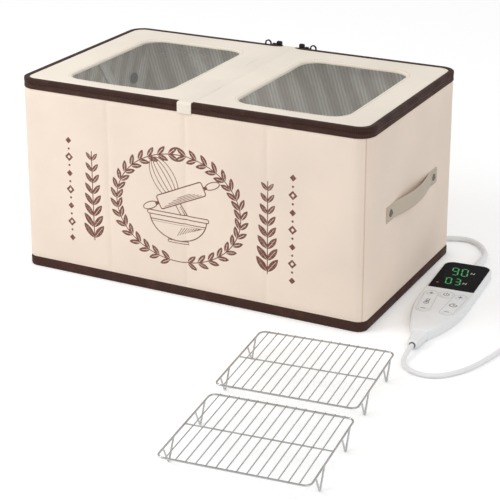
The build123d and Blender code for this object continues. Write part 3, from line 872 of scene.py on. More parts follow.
def leaf_sprig(x, z, centre, degrees, count, size):
    """A stem with pairs of leaves that shrink towards its tip."""
    u, v = turned(x, z, centre, degrees)
    length = count * size * 0.62
    ink = to_line(u, v, ((0, 0), (length, 0))) - 0.7
    for number in range(count):
        share = 1 - 0.5 * number / count
        for side in (-1, 1):
            lu, lv = turned(u, v, (number * size * 0.62 + 3, 0), side * 38)
            blade = leaf(lu, lv, size * share, size * 0.36 * share)
            vein = to_line(lu, lv, ((0, 0), (size * share * 0.8, 0))) - 0.3
            ink = np.minimum(ink, np.maximum(blade, -vein))
    return ink


def rolling_pin(x, z, centre, degrees):
    """A rolling pin in outline, with shading lines along its barrel."""
    u, v = turned(x, z, centre, degrees)
    barrel = bar(u, v, 36, 9.5, 3)
    ink = stroke(barrel, 1.5)
    for side in (-1, 1):
        grip = oval(u - side * 50, v, 11, 4.6)
        neck = bar(u - side * 38.5, v, 3, 2.4, 1)
        ink = np.minimum(ink, np.minimum(stroke(grip, 1.3), neck))
    for row, reach in enumerate((30, 26, 21, 15)):
        line = to_line(u, v, ((-reach + 3 * row, -7.4 + 1.9 * row), (reach, -7.4 + 1.9 * row))) - 0.42
        ink = np.minimum(ink, np.maximum(line, barrel))
    return ink, np.minimum(barrel, np.minimum(oval(u - 50, v, 11, 4.6), oval(u + 50, v, 11, 4.6)))


def whisk(x, z, centre, degrees):
    """A balloon whisk in outline: three nested loops of wire on a turned handle."""
    u, v = turned(x, z, centre, degrees)
    ink = np.full(np.shape(u), 99.0)
    for breadth in (16, 9.5, 3.6):
        ink = np.minimum(ink, np.maximum(stroke(oval(u - 22, v, 30, breadth), 1.15), -(u + 6)))
    ink = np.minimum(ink, bar(u + 9, v, 5.5, 4.2, 1.6))
    handle = bar(u + 34, v, 21, 3.6, 3.0)
    ink = np.minimum(ink, stroke(handle, 1.3))
    ink = np.minimum(ink, np.maximum(to_line(u, v, ((-50, -1.2), (-20, -1.2))) - 0.5, handle))
    return np.minimum(ink, stroke(oval(u + 59, v, 4, 3.4), 1.2))


def mixing_bowl(x, z, centre):
    """A wide bowl in outline with two bands and hatching under its rim."""
    u, v = turned(x, z, centre, 0)
    body = np.maximum(oval(u, v, 42, 34), v)
    ink = stroke(body, 1.5)
    rim = bar(u, v, 45, 2.6, 2.2)
    ink = np.minimum(np.maximum(ink, -rim), stroke(rim, 1.3))
    for height, width in ((-9, 1.2), (-12, 0.7)):
        ink = np.minimum(ink, np.maximum(np.abs(v - height) - width / 2, body))
    for number in range(9):
        start = 6 + 3.6 * number
        line = to_line(u, v, ((start, -15 + 0.4 * number), (start - 7, -27 + 1.5 * number))) - 0.4
        ink = np.minimum(ink, np.maximum(line, body))
    foot = bar(u, v + 35.5, 15, 1.6, 1)
    return np.minimum(ink, stroke(foot, 1.1)), np.minimum(np.minimum(body, rim), foot)


def over(below, ink, shape):
    """Lays one drawing over another, which stops at its outline."""
    return np.minimum(np.maximum(below, -shape - 0.4), ink)


def diamond(u, v, half):
    """How far points are outside a diamond."""
    return (np.abs(u) + np.abs(v) - half) / math.sqrt(2)


def front_print(x, z):
    """Cover of ink on the front: 0.5 at a printed edge, and more inside it.

    A bowl, a rolling pin and a whisk stand in a wreath of leaves, with an upright spray of leaves and a
    column of diamonds on each side of it.
    """
    middle = (-12.0, 121.0)
    pin_ink, pin_shape = rolling_pin(x, z, (middle[0] + 5, middle[1] + 19), 24)
    whisk_ink = whisk(x, z, (middle[0] - 8, middle[1] + 20), 122)
    bowl_ink, bowl_shape = mixing_bowl(x, z, (middle[0], middle[1] - 10))
    ink = over(over(whisk_ink, pin_ink, pin_shape), bowl_ink, bowl_shape)
    wreath_u, wreath_z, leaves = 91.0, 73.0, 17
    ink = np.minimum(ink, stroke(oval(x - middle[0], z - middle[1], wreath_u, wreath_z), 1.3))
    for side in (-1, 1):
        for number in range(leaves):
            angle = math.radians(-82 + 164 * number / (leaves - 1))
            foot = (
                middle[0] + side * wreath_u * math.cos(angle),
                middle[1] + wreath_z * math.sin(angle),
            )
            run = math.degrees(math.atan2(wreath_z * math.cos(angle), -wreath_u * math.sin(angle)))
            run = run if side > 0 else 180 - run
            for lean in (-34, 34):
                u, v = turned(x, z, foot, run + lean)
                blade = leaf(u, v, 17.0, 6.6)
                vein = to_line(u, v, ((0, 0), (12.0, 0))) - 0.4
                ink = np.minimum(ink, np.maximum(blade, -vein))
        spray = leaf_sprig(x, z, (middle[0] + side * 128, middle[1] - 66), 90, 8, 25.0)
        ink = np.minimum(ink, spray)
        for number in range(-6, 7):
            u, v = x - middle[0] - side * 163, z - middle[1] - number * 11.4
            mark = diamond(u, v, 4.6) if number % 2 == 0 else np.hypot(u, v) - 1.6
            if number % 4 == 0:
                mark = np.maximum(diamond(u, v, 6.2), -diamond(u, v, 2.6))
            ink = np.minimum(ink, mark)
    return np.clip(0.5 - ink / 6, 0, 1)


# ---- Walls ----
def two_sides(outer):
    """Material numbers of a skin's rows: 0 outside, 1 inside, and 0 for the row that closes it."""
    slots = np.where(outer, 0, 1)
    slots[-1] = 0
    return slots


def wall_skin(runs, outer_z, inner_z, folds, sizes, seed, printed=False):
    """A closed wall segment: cloth outside, lining inside, with the points of a path at every height."""
    heights = np.concatenate([outer_z, inner_z[::-1]])[:, None]
    x, y, nx, ny = trace(runs(heights), np.zeros_like(heights))
    stand = wall_relief(x, heights, folds, (-CORNER, CORNER), sizes, seed)
    pinch = dip(x, folds, sizes.crease_reach)
    inside = WALL_THICKNESS + 0.1 * MM + 0.4 * MM * quilting(x, heights) - 1.6 * MM * pinch
    outer = np.arange(len(heights)) < len(outer_z)
    inset = np.where(outer[:, None], -stand, inside)
    points = grid(x - inset * nx, y - inset * ny, heights)
    ink = None
    if printed:
        ink = np.where(outer[:, None], front_print(points[..., 0] / MM, points[..., 2] / MM), 0.0)
    return tube(Skin(), points, two_sides(outer), grid(x, heights), ink)


def side_runs(side, start, end, columns):
    """A straight stretch of the front (side -1) or the back (side 1) wall, as runs for any height."""
    shares = (columns - start) / (end - start)
    return lambda z: [straight((start, side * WALL_Y), (end, side * WALL_Y), shares)]


# Each stretch of wall: its name, the two bodies on each side of its fold, its start, end and fold, and its
# side.
WALL_PARTS = (
    ("front_cloth_1", ("end_left", "front_1"), -CORNER, -(CORNER + QUARTER) / 2, -CORNER, -1),
    ("front_cloth_2", ("front_1", "front_2"), -(CORNER + QUARTER) / 2, -QUARTER / 2, -QUARTER, -1),
    ("front_cloth_3", ("front_2", "root"), -QUARTER / 2, 0.0, -CENTRE, -1),
    ("front_cloth_4", ("root", "front_3"), 0.0, QUARTER / 2, CENTRE, -1),
    ("front_cloth_5", ("front_3", "front_4"), QUARTER / 2, (CORNER + QUARTER) / 2, QUARTER, -1),
    ("front_cloth_6", ("front_4", "end_right"), (CORNER + QUARTER) / 2, CORNER, CORNER, -1),
    ("back_cloth_1", ("back_4", "back_3"), CORNER - 0.4 * MM, QUARTER / 2, QUARTER, 1),
    ("back_cloth_2", ("back_3", "root"), QUARTER / 2, 0.0, CENTRE, 1),
    ("back_cloth_3", ("root", "back_2"), 0.0, -QUARTER / 2, -CENTRE, 1),
    ("back_cloth_4", ("back_2", "back_1"), -QUARTER / 2, -(CORNER - 0.4 * MM), -QUARTER, 1),
)
STANDS_FOR = {
    "front_cloth_2": ("front_panel_1", "front_panel_2"),
    "front_cloth_5": ("front_panel_3", "front_panel_4"),
    "back_cloth_1": ("back_panel_3", "back_panel_4"),
    "back_cloth_4": ("back_panel_1", "back_panel_2"),
}
WALL_FINISHES = ("wall_cloth", "foil")
PRINT_WIDTH = (-183 * MM, 159 * MM)
PRINT_HEIGHTS = (32 * MM, 210 * MM)
FOLD_LINES = (-QUARTER, 0.0, QUARTER)
BEND_REACH = 1.6 * MM


def bend_piece(thing):
    """Bakes a piece's placement into its mesh; the piece is not bent between its two bodies."""
    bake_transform(thing)


def bend_columns(start, end, step, fold, fine=None):
    """Columns of a stretch of wall, finer where it bends and, if asked, where it is printed."""
    ahead = 1 if end > start else -1
    centre = fold
    if fold == start:
        centre = fold + ahead * BEND_REACH
    if fold == end:
        centre = fold - ahead * BEND_REACH
    columns = stations(start, end, step, centre)
    if fine:
        near = np.arange(max(start, PRINT_WIDTH[0]), min(end, PRINT_WIDTH[1]), fine)
        near = near[np.abs(near - centre) > CREASE_REACH]
        far = columns[(columns < PRINT_WIDTH[0]) | (columns > PRINT_WIDTH[1])]
        bent = columns[np.abs(columns - centre) <= 2.3 * MM]
        columns = np.unique(np.round(np.concatenate([near, far, bent, [start, end]]), 6))
    return columns


class PROOFER_OT_walls(bpy.types.Operator):
    """Makes the cloth walls with their lining, in stretches that each span one fold between panels"""

    bl_idname = "proofer.walls"
    bl_label = "Walls"

    def execute(self, context):
        sizes = context.scene.proofer_sizes
        for name, bodies, start, end, fold, side in WALL_PARTS:
            front = side < 0
            coarse, fine = sizes.coarse_step, sizes.column_step
            rows = wall_rows(coarse, fine, PRINT_HEIGHTS if front else None)
            columns = bend_columns(start, end, coarse, fold, fine if front else None)
            runs = side_runs(side, start, end, columns)
            inner_rows = wall_rows(1.5 * coarse)
            seed = 1.0 + 0.7 * side
            skin = wall_skin(runs, rows, inner_rows, FOLD_LINES, sizes, seed, printed=front)
            thing = piece(name, skin, WALL_FINISHES, None, STANDS_FOR.get(name, ()))
            bend_piece(thing)
        for side, label, body in ((1, "right", "end_right"), (-1, "left", "end_left")):
            self.end_wall(context, side, label, body)
        return {"FINISHED"}

    def end_wall(self, context, side, label, body):
        """One end: flat between two rounded corners that narrow towards the foot, each with a sewn seam."""
        sizes = context.scene.proofer_sizes
        rows = wall_rows(sizes.coarse_step)
        seam = np.linspace(-0.06, 0.06, 13) + 0.5
        corner = np.unique(np.round(np.concatenate([even(16), seam]), 5))

        def radius(z):
            share = np.clip((z - WALL_LOW) / (WALL_HIGH - WALL_LOW), 0, 1)
            return sizes.corner_foot + (sizes.corner_top - sizes.corner_foot) * share**0.8

        def runs(z):
            return c_path(side, WALL_X, WALL_Y, radius(z), CORNER, (corner, 92, 2))

        heights = np.concatenate([rows, rows[::-1]])[:, None]
        x, y, nx, ny = trace(runs(heights), np.zeros_like(heights))
        s = run_length(x, y)
        angle = np.abs(np.degrees(np.arctan2(np.abs(ny), np.abs(nx))) - 45)
        gap = np.radians(angle) * radius(heights)
        groove, shoulder = bell(gap, 0.55 * MM), bell(gap - 1.6 * MM, 0.9 * MM)
        on_corner = np.abs(nx * ny) > 1e-6
        stand = wall_relief(y, heights, (), (-WALL_Y, WALL_Y), sizes, 2.3 * side)
        stand = stand + np.where(on_corner, 0.45 * MM * shoulder - 1.2 * MM * groove, 0)
        outer = np.arange(len(heights)) < len(rows)
        inside = WALL_THICKNESS + 0.1 * MM + 0.5 * MM * quilting(s, heights)
        inset = np.where(outer[:, None], -stand, inside)
        points = grid(x - inset * nx, y - inset * ny, heights)
        skin = tube(Skin(), points, two_sides(outer), grid(s, heights))
        piece(f"{label}_end_cloth", skin, WALL_FINISHES, body, (f"{label}_end_panel",))


# ---- Binding tapes ----
BASE_TAPE_WIDTH, LID_TAPE_WIDTH = 6.5 * MM, 7.4 * MM
BASE_CORNER = 14 * MM
ZIP_PITCH, ZIP_GAP = 2.2 * MM, 0.55 * MM
RIM_TEETH, LID_TEETH = RIM_HIGH - 0.25 * MM, LID_LOW + 0.35 * MM
TOOTH_SIZE = (1.1 * MM, 2.2 * MM, 1.0 * MM)
LOWER_FINISHES = ("lower_tape", "thread", "teeth")
UPPER_FINISHES = ("tape", "thread", "teeth")


def tape_skin(runs, low_z, high_z, width, sizes, stitch_height, closed=False, teeth_z=None):
    """A binding tape along runs, with a row of stitches round its outer side and teeth along one edge."""
    inset, z = tape_profile(low_z, high_z, width, sizes.tape_bulge, 0.1 * MM)
    x, y, nx, ny = trace(runs, inset)
    s = run_length(x, y)
    around = np.cumsum(np.abs(np.diff(np.concatenate([z, z[:1]])[:, 0])))[:, None]
    skin = tube(Skin(), grid(x, y, z), 0, grid(s, around), closed=closed)
    x, y, nx, ny = (value[0] for value in trace(runs, np.array([[-0.9 * sizes.tape_bulge]])))
    path = grid(x, y, low_z + stitch_height * (high_z - low_z))
    stitches(skin, path, grid(nx, ny, 0.0), sizes, 1, closed)
    if teeth_z is not None:
        x, y, nx, ny = (value[0] for value in trace(runs, np.array([[0.9 * MM]])))
        start = 0.25 if teeth_z > RIM_HIGH else 0.75
        solid = tooth(*TOOTH_SIZE)
        repeat(skin, grid(x, y, teeth_z), grid(nx, ny, 0.0), solid, ZIP_PITCH, 2, closed, start)
    return skin


def rim_skin(runs, sizes):
    """The tape on the walls' upper edge, with the lower half of the zip."""
    return tape_skin(runs, RIM_LOW, RIM_HIGH - ZIP_GAP, TAPE_WIDTH, sizes, 0.22, teeth_z=RIM_TEETH)


class PROOFER_OT_bindings(bpy.types.Operator):
    """Makes the brown tapes round the base, the rim of the walls and the two lids"""

    bl_idname = "proofer.bindings"
    bl_label = "Bindings"

    def execute(self, context):
        sizes = context.scene.proofer_sizes
        base = loop_path(TAPE_X, TAPE_Y, BASE_CORNER, 14, 60)
        skin = tape_skin(base, 0.0, high("base_binding").z, BASE_TAPE_WIDTH, sizes, 0.78, closed=True)
        piece("base_tape", skin, LOWER_FINISHES, "root", ("base_binding",))
        for cloth, bodies, start, end, fold, side in WALL_PARTS:
            columns = bend_columns(start, end, 6 * MM, fold)
            shares = (columns - start) / (end - start)
            skin = rim_skin([straight((start, side * TAPE_Y), (end, side * TAPE_Y), shares)], sizes)
            name = cloth.replace("cloth", "rim_tape")
            rims = [panel.replace("panel", "rim") for panel in STANDS_FOR.get(cloth, ())]
            thing = piece(name, skin, LOWER_FINISHES, None, rims)
            bend_piece(thing)
        for side, label in ((1, "right"), (-1, "left")):
            skin = rim_skin(c_path(side, TAPE_X, TAPE_Y, CORNER_RADIUS, CORNER, (even(18), 40, 2)), sizes)
            name, rim = f"{label}_end_rim_tape", f"{label}_end_rim"
            piece(name, skin, LOWER_FINISHES, f"end_{label}", (rim,))
            runs = c_path(side, TAPE_X, TAPE_Y, CORNER_RADIUS, LID_EDGE, (even(18), 40, 36))
            low_z = LID_LOW + ZIP_GAP
            skin = tape_skin(runs, low_z, LID_TAPE_TOP, LID_TAPE_WIDTH, sizes, 0.3, teeth_z=LID_TEETH)
            name, binding = f"{label}_lid_tape", f"{label}_lid_binding"
            piece(name, skin, UPPER_FINISHES, f"lid_{label}", (binding,))
        return {"FINISHED"}


# ---- Lids ----
COVER_INSET = 6.3 * MM
FILM_LAP = 6 * MM
WINDOW_CORNER, INNER_CORNER = 26 * MM, 0.6 * MM
SEAM_AWAY = 4.6 * MM
BAND_HALF, BAND_THICK, BAND_BEND = 10.1 * MM, 1.3 * MM, 3.5 * MM


def rounded_outline(x_range, y_range, radii, corner, along):
    """Points round a rectangle with its own radius at each corner, anticlockwise from the front right.

    Each corner has as many points as corner says, and each straight between two corners as along says.
    """
    (x0, x1), (y0, y1) = x_range, y_range
    corners = (
        (x1 - radii[1], y0 + radii[1], radii[1], -90),
        (x1 - radii[2], y1 - radii[2], radii[2], 0),
        (x0 + radii[3], y1 - radii[3], radii[3], 90),
        (x0 + radii[0], y0 + radii[0], radii[0], 180),
    )
    points = []
    for number, (cx, cy, radius, first) in enumerate(corners):
        angle = np.radians(first + 90 * np.linspace(0, 1, corner))
        arc = grid(cx + radius * np.cos(angle), cy + radius * np.sin(angle))
        nx, ny, nr, following = corners[(number + 1) % 4]
        start = math.radians(following)
        target = np.array([nx + nr * math.cos(start), ny + nr * math.sin(start)])
        share = np.linspace(0, 1, along + 2)[1:-1, None]
        points += [arc, arc[-1] * (1 - share) + target * share]
    return np.concatenate(points)


class PROOFER_OT_lids(bpy.types.Operator):
    """Makes the two padded lid covers round their windows, and the centre band between them"""

    bl_idname = "proofer.lids"
    bl_label = "Lids"

    def execute(self, context):
        sizes = context.scene.proofer_sizes
        outer, inner = CORNER_RADIUS - COVER_INSET, INNER_CORNER
        for side, label in ((1, "right"), (-1, "left")):
            low_corner, high_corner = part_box(f"{label}_window")
            hole_x = (low_corner.x + FILM_LAP, high_corner.x - FILM_LAP)
            hole_y = (low_corner.y + FILM_LAP, high_corner.y - FILM_LAP)
            hole = rounded_outline(hole_x, hole_y, (WINDOW_CORNER,) * 4, 14, 30)
            if side > 0:
                x_range, radii = (LID_EDGE, TAPE_X - COVER_INSET), (inner, outer, outer, inner)
            else:
                x_range, radii = (COVER_INSET - TAPE_X, -LID_EDGE), (outer, inner, inner, outer)
            rim = rounded_outline(x_range, (COVER_INSET - TAPE_Y, TAPE_Y - COVER_INSET), radii, 14, 30)
            skin = self.cover(hole, rim, sizes, side)
            finishes = ("lid_cloth", "foil", "pale_thread")
            name, body = f"{label}_lid_cloth", f"lid_{label}"
            piece(name, skin, finishes, body, (f"{label}_lid_cover",), sharp=60)
        finish_nodes(["left_window", "right_window"], "film")
        self.centre_band()
        return {"FINISHED"}

    def cover(self, hole, rim, sizes, side):
        """A soft frame: shares of the way from the window's edge to the rim, over the top and back beneath.

        The top rises in a rolled edge from the film, swells a little and sinks towards the tape.
        """
        share = np.array([0, 0.01, 0.03, 0.07, 0.13, 0.22, 0.34, 0.48, 0.62, 0.76, 0.88, 0.95, 0.985, 1.0])
        share = share[:, None]
        span = np.hypot(*(rim - hole).T)[None, :]
        top = hole[None] + (rim - hole)[None] * share[..., None]
        from_hole, from_rim = share * span, (1 - share) * span
        rolled = 1 - np.exp(-((from_hole / (0.7 * MM)) ** 1.2))
        sunk = bell(from_rim, 4 * MM)
        sunk = sunk * (1 - bell(np.abs(top[..., 0]) - LID_EDGE, 5 * MM))
        level = FILM_TOP + 0.15 * MM + (LID_TOP - FILM_TOP - 0.15 * MM) * rolled
        seam = bell(from_hole - 5 * MM, 1.1 * MM)
        waves = slack(top[..., 0], top[..., 1], 3.1 * side) * np.minimum(1, from_hole / (12 * MM))
        level = level + 0.35 * MM * rolled * (1 - sunk) + 0.22 * MM * waves * (1 - sunk) - 0.5 * MM * sunk
        level = level - 0.16 * MM * seam
        under = top[::-1]
        near_film = np.exp(-((from_hole[::-1] / (9 * MM)) ** 4))
        under_level = LID_LOW + 0.4 * MM + (FILM_TOP - 1.3 * MM - LID_LOW) * near_film
        points = np.concatenate([np.dstack([top, level]), np.dstack([under, under_level])])
        slots = two_sides(np.arange(len(points)) < len(share))
        # The rows run outward from the window and the columns anticlockwise, so the rows are reversed.
        points = points[::-1]
        slots = np.roll(slots[::-1], -1)
        skin = tube(Skin(), points, slots, points[..., :2], closed=True)
        way = unit(np.roll(hole, -1, axis=0) - np.roll(hole, 1, axis=0))
        seam_line = hole + SEAM_AWAY * grid(way[:, 1], -way[:, 0])
        seam_line = grid(seam_line[:, 0], seam_line[:, 1], LID_TOP + 0.28 * MM)
        upward = np.broadcast_to([0.0, 0.0, 1.0], seam_line.shape)
        return stitches(skin, seam_line, upward, sizes, 2, closed=True)

    def centre_band(self):
        """A strap over the lid's middle: a thin rounded profile taken up the front, over and down behind."""
        half, thick, radius = BAND_HALF, BAND_THICK, BAND_BEND
        top, foot, reach = LID_TAPE_TOP + 0.35 * MM, RIM_LOW - 0.5 * MM, TAPE_Y + 1.5 * MM
        quarter = np.radians(np.linspace(0, 90, 10))
        rise = np.linspace(foot, top - radius, 12)
        front_y = np.concatenate([np.full(12, -reach), -reach + radius * (1 - np.cos(quarter[1:]))])
        front_z = np.concatenate([rise, top - radius + radius * np.sin(quarter[1:])])
        over_y = np.linspace(-reach + radius, reach - radius, 90)[1:-1]
        path_y = np.concatenate([front_y, over_y, -front_y[::-1]])
        sag = 0.25 * MM * np.sin(over_y / (37 * MM)) * np.sin(over_y / (11 * MM))
        path_z = np.concatenate([front_z, top + sag, front_z[::-1]])
        run_y, run_z = np.gradient(path_y), np.gradient(path_z)
        size = np.hypot(run_y, run_z)
        out_y, out_z = -run_z / size, run_y / size
        angle = circle(24) + math.pi / 24 - math.pi / 2
        across = half * squared(np.sin(angle), 0.35)
        out = thick / 2 * (squared(np.cos(angle), 0.5) - 1)
        out = out + 0.12 * MM * np.cos(across / (3.0 * MM)) * (out > -thick / 2)
        x = -across[:, None]
        y = path_y[None] + out[:, None] * out_y[None]
        z = path_z[None] + out[:, None] * out_z[None]
        along = np.concatenate([[0], np.cumsum(np.hypot(np.diff(path_y), np.diff(path_z)))])
        skin = tube(Skin(), grid(x, y, z), 0, grid(x, along))
        piece("centre_strap", skin, ("band_cloth",), "root", ("centre_band",))


# ---- Floor of the box ----
class PROOFER_OT_floor(bpy.types.Operator):
    """Makes the foil floor inside, the cloth underside, and finishes what lies between them"""

    bl_idname = "proofer.floor"
    bl_label = "Floor"

    def execute(self, context):
        half_x, half_y = high("floor_liner").x, high("floor_liner").y
        half_x, half_y = half_x - 1.2 * MM, half_y - 1.2 * MM
        outline = rounded_outline((-half_x, half_x), (-half_y, half_y), (9 * MM,) * 4, 8, 40)
        for name, node, slot, material, quilt in (
            ("foil_floor", "floor_liner", "foil", "foil", 0.7 * MM),
            ("base_cloth", "base_cover", "wall_cloth", "base_cloth", 0.0),
        ):
            under, top = low(node).z, high(node).z
            share = np.concatenate([[0.004], np.linspace(0.03, 1, 40)])
            rings = outline[None] * share[:, None, None]
            pillow = quilting(rings[..., 0], rings[..., 1])
            edge = 1 - bell(1 - share, 0.03)[:, None]
            upper = np.dstack([rings, top - 0.1 * MM - quilt * (1 - pillow) * edge])
            lower = np.dstack([rings, np.full(rings.shape[:2], under)])
            points = np.concatenate([lower, upper[::-1]])
            skin = dome(Skin(), points, points[..., :2])
            piece(name, skin, (material,), "root", (node,))
        finish_nodes(["base_boards"], "card")
        finish_nodes(["heating_mat"], "foil")
        finish_nodes(["heating_wire"], "heater_wire")
        return {"FINISHED"}


# ---- Handles ----
STRAP_FOOT, STRAP_THICK, STRAP_BOW = 24 * MM, 2 * MM, 7.5 * MM
STITCH_MARGIN = 2.2 * MM


class PROOFER_OT_handles(bpy.types.Operator):
    """Makes the webbing handles with their stitched feet and rivets, and the strap and eyelet inside"""

    bl_idname = "proofer.handles"
    bl_label = "Handles"

    def execute(self, context):
        sizes = context.scene.proofer_sizes
        for side, label in ((1, "right"), (-1, "left")):
            self.strap(side, label, sizes)
            self.rivets(side, label)
        self.inner_strap()
        return {"FINISHED"}

    def strap(self, side, label, sizes):
        """Flat feet joined by a bow, which stands out by (1 - share^2)^1.25 of its height."""
        node = f"{label}_handle"
        near, far, low_z, high_z = low(node).y, high(node).y, low(node).z, high(node).z
        thick = STRAP_THICK
        middle, reach = (near + far) / 2, (far - near) / 2 - STRAP_FOOT
        y = np.linspace(near, far, 150)
        share = np.clip(np.abs(y - middle) / reach, 0, 1)
        stand = WALL_X + thick + STRAP_BOW * (1 - share**2) ** 1.25
        path = grid(side * stand, y, (low_z + high_z) / 2)
        path = path if side > 0 else path[::-1]
        way = ways(path)
        out = grid(way[:, 1], -way[:, 0], way[:, 2])
        t = np.linspace(-1, 1, 53)
        rounding = (1 - np.abs(t) ** 8) ** 0.5
        ribs = 0.16 * MM * np.cos(math.pi * 5.5 * t) ** 2
        inset = thick / 2 * (1 - rounding)
        inset = np.concatenate([inset - ribs * rounding, (thick / 2 * (1 + rounding))[-2:0:-1]])
        height = np.concatenate([t, t[-2:0:-1]]) * (high_z - low_z) / 2
        points = path[None] - inset[:, None, None] * out[None]
        points[..., 2] += height[:, None]
        skin = tube(Skin(), points, 0, grid(distances(path), height[:, None]))
        inner = STRAP_FOOT - 3 * MM
        for start, sign in ((near, 1), (far, -1)):
            corners_y = (start + sign * 3 * MM, start + sign * inner)
            corners_z = (low_z + STITCH_MARGIN, high_z - STITCH_MARGIN)
            for z in corners_z:
                self.seam(skin, side, corners_y, (z, z), sizes)
            for y_line in corners_y:
                self.seam(skin, side, (y_line, y_line), corners_z, sizes)
        finishes = ("webbing", "pale_thread")
        piece(f"{label}_strap", skin, finishes, f"end_{label}", (node,))

    def seam(self, skin, side, y_range, z_range, sizes):
        """A straight row of stitches on a foot."""
        x = side * (WALL_X + STRAP_THICK + 0.2 * MM)
        share = np.linspace(0, 1, 8)[:, None]
        ends = np.array([(x, y, z) for y, z in zip(y_range, z_range)])
        path = ends[0] * (1 - share) + ends[1] * share
        stitches(skin, path, np.broadcast_to([float(side), 0.0, 0.0], path.shape), sizes, 1)

    def rivets(self, side, label):
        """Turned rivets: a clinched tail inside, a shank through the wall, and a domed head with a dimple."""
        node = f"{label}_rivets"
        corner_low, corner_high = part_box(node)
        tail = corner_low.x if side > 0 else corner_high.x
        head = corner_high.x if side > 0 else corner_low.x
        z = (corner_low.z + corner_high.z) / 2
        span = abs(head - tail)
        radius = (corner_high.z - corner_low.z) / 2
        profile = [
            (0.0, 0.02), (0.0, 3.4), (0.3, 4.4), (0.9, 5.0), (1.6, 5.0), (1.7, 2.0), (9.5, 2.0), (9.55, 4.9),
            (9.9, 5.0), (10.4, 4.7), (10.9, 3.9), (11.2, 2.9), (11.1, 2.2), (10.7, 1.7), (10.5, 1.0),
            (10.45, 0.02),
        ]
        profile = [(along * MM / span, r / 5.0 * radius) for along, r in profile]
        skin = Skin()
        for y in (corner_low.y + radius, corner_high.y - radius):
            turning(skin, (tail, y, z), (head, y, z), profile)
        piece(f"{label}_dome_rivets", skin, ("rivet",), f"end_{label}", (node,))

    def inner_strap(self):
        """A narrow strap that hangs slanting on the left end's lining, and an eyelet near the back corner."""
        x = -(WALL_X - WALL_THICKNESS) + 1.3 * MM
        share = np.linspace(0, 1, 30)[:, None]
        top, foot = np.array([x, 40 * MM, 241 * MM]), np.array([x, 84 * MM, 178 * MM])
        path = top * (1 - share) + foot * share
        skin = sleeve(Skin(), path, 8 * MM, 0.7 * MM, up=(1, 0, 0), square=0.4)
        piece("inner_strap", skin, ("pale_webbing",), "end_left")
        centre = np.array([0.9 * MM - (WALL_X - WALL_THICKNESS), 127 * MM, 194 * MM])
        inward = np.array([1.0, 0.0, 0.0])
        profile = [(0, 0.05), (0, 7.6), (0.5, 8.2), (1, 7.9), (0.9, 5.8), (0.5, 5.2), (0.45, 0.05)]
        profile = [(along, r * MM) for along, r in profile]
        skin = turning(Skin(), centre, centre + 2.2 * MM * inward, profile)
        piece("inner_eyelet", skin, ("grommet",), "end_left")


# ---- Controller ----
def middle_of(node):
    """The middle of a node's box."""
    return (low(node) + high(node)) / 2


class ControllerFrame:
    """The controller's own axes: u across it, v along it from the cord's side to the display, z up."""

    def __init__(self):
        across = middle_of("time_up_button") - middle_of("temperature_up_button")
        self.u = np.array([*across.xy.normalized(), 0.0])
        self.v = np.array([-self.u[1], self.u[0], 0.0])
        power = middle_of("power_button")
        self.origin = np.array([power.x, power.y, 0.0]) + 9 * MM * self.v
        self.top = high("display_lens").z
        self.exit = high("controller_base").z

    def points(self, u, v, z):
        """Places given in millimetres across and along, and a height in metres."""
        u, v, z = (np.asarray(value, float)[..., None] for value in np.broadcast_arrays(u, v, z))
        return self.origin + u * MM * self.u + v * MM * self.v + z * np.array([0, 0, 1.0])


CONTROLLER = ControllerFrame()
SEGMENTS = {
    "top": ((0, 1), (1, 1)),
    "middle": ((0, 0.5), (1, 0.5)),
    "bottom": ((0, 0), (1, 0)),
    "upper_left": ((0, 0.5), (0, 1)),
    "upper_right": ((1, 0.5), (1, 1)),
    "lower_left": ((0, 0), (0, 0.5)),
    "lower_right": ((1, 0), (1, 0.5)),
}
DARK_SEGMENTS = {0: ("middle",), 3: ("upper_left", "lower_left"), 9: ("lower_left",)}
# Rows of figures: foot, height, width, gap and left edge in millimetres, and the figures.
FIGURE_ROWS = ((58.4, 23.6, 7.6, 5.4, -12.4, (9, 0)), (27.0, 19.8, 6.8, 5.2, -12.0, (0, 3)))
BAR_HALF = 0.9
# Places on the face in millimetres; the left buttons mirror the right ones.
UP_BUTTON, DOWN_BUTTON, POWER_BUTTON = (19.3, -11.5), (15.5, -61.0), (0, -9)
CLOCK, BULB, BULB_TOP = (17.3, -37.5), (-17.3, -42.0), (-17.3, -31.5)


def bead(skin, u, v, z, half_width, half_height=0.14, closed=False, square=0.6):
    """A thin raised line on the controller, through places in millimetres."""
    path = CONTROLLER.points(u, v, z)
    wide = np.asarray(half_width, float) * MM
    return sleeve(skin, path, wide, half_height * MM, square=square, count=12, closed=closed)


def arc(centre, radius, first, last, count=24):
    """Places on an arc, in millimetres, from one angle in degrees to another."""
    angle = np.radians(np.linspace(first, last, count))
    return centre[0] + radius * np.cos(angle), centre[1] + radius * np.sin(angle)


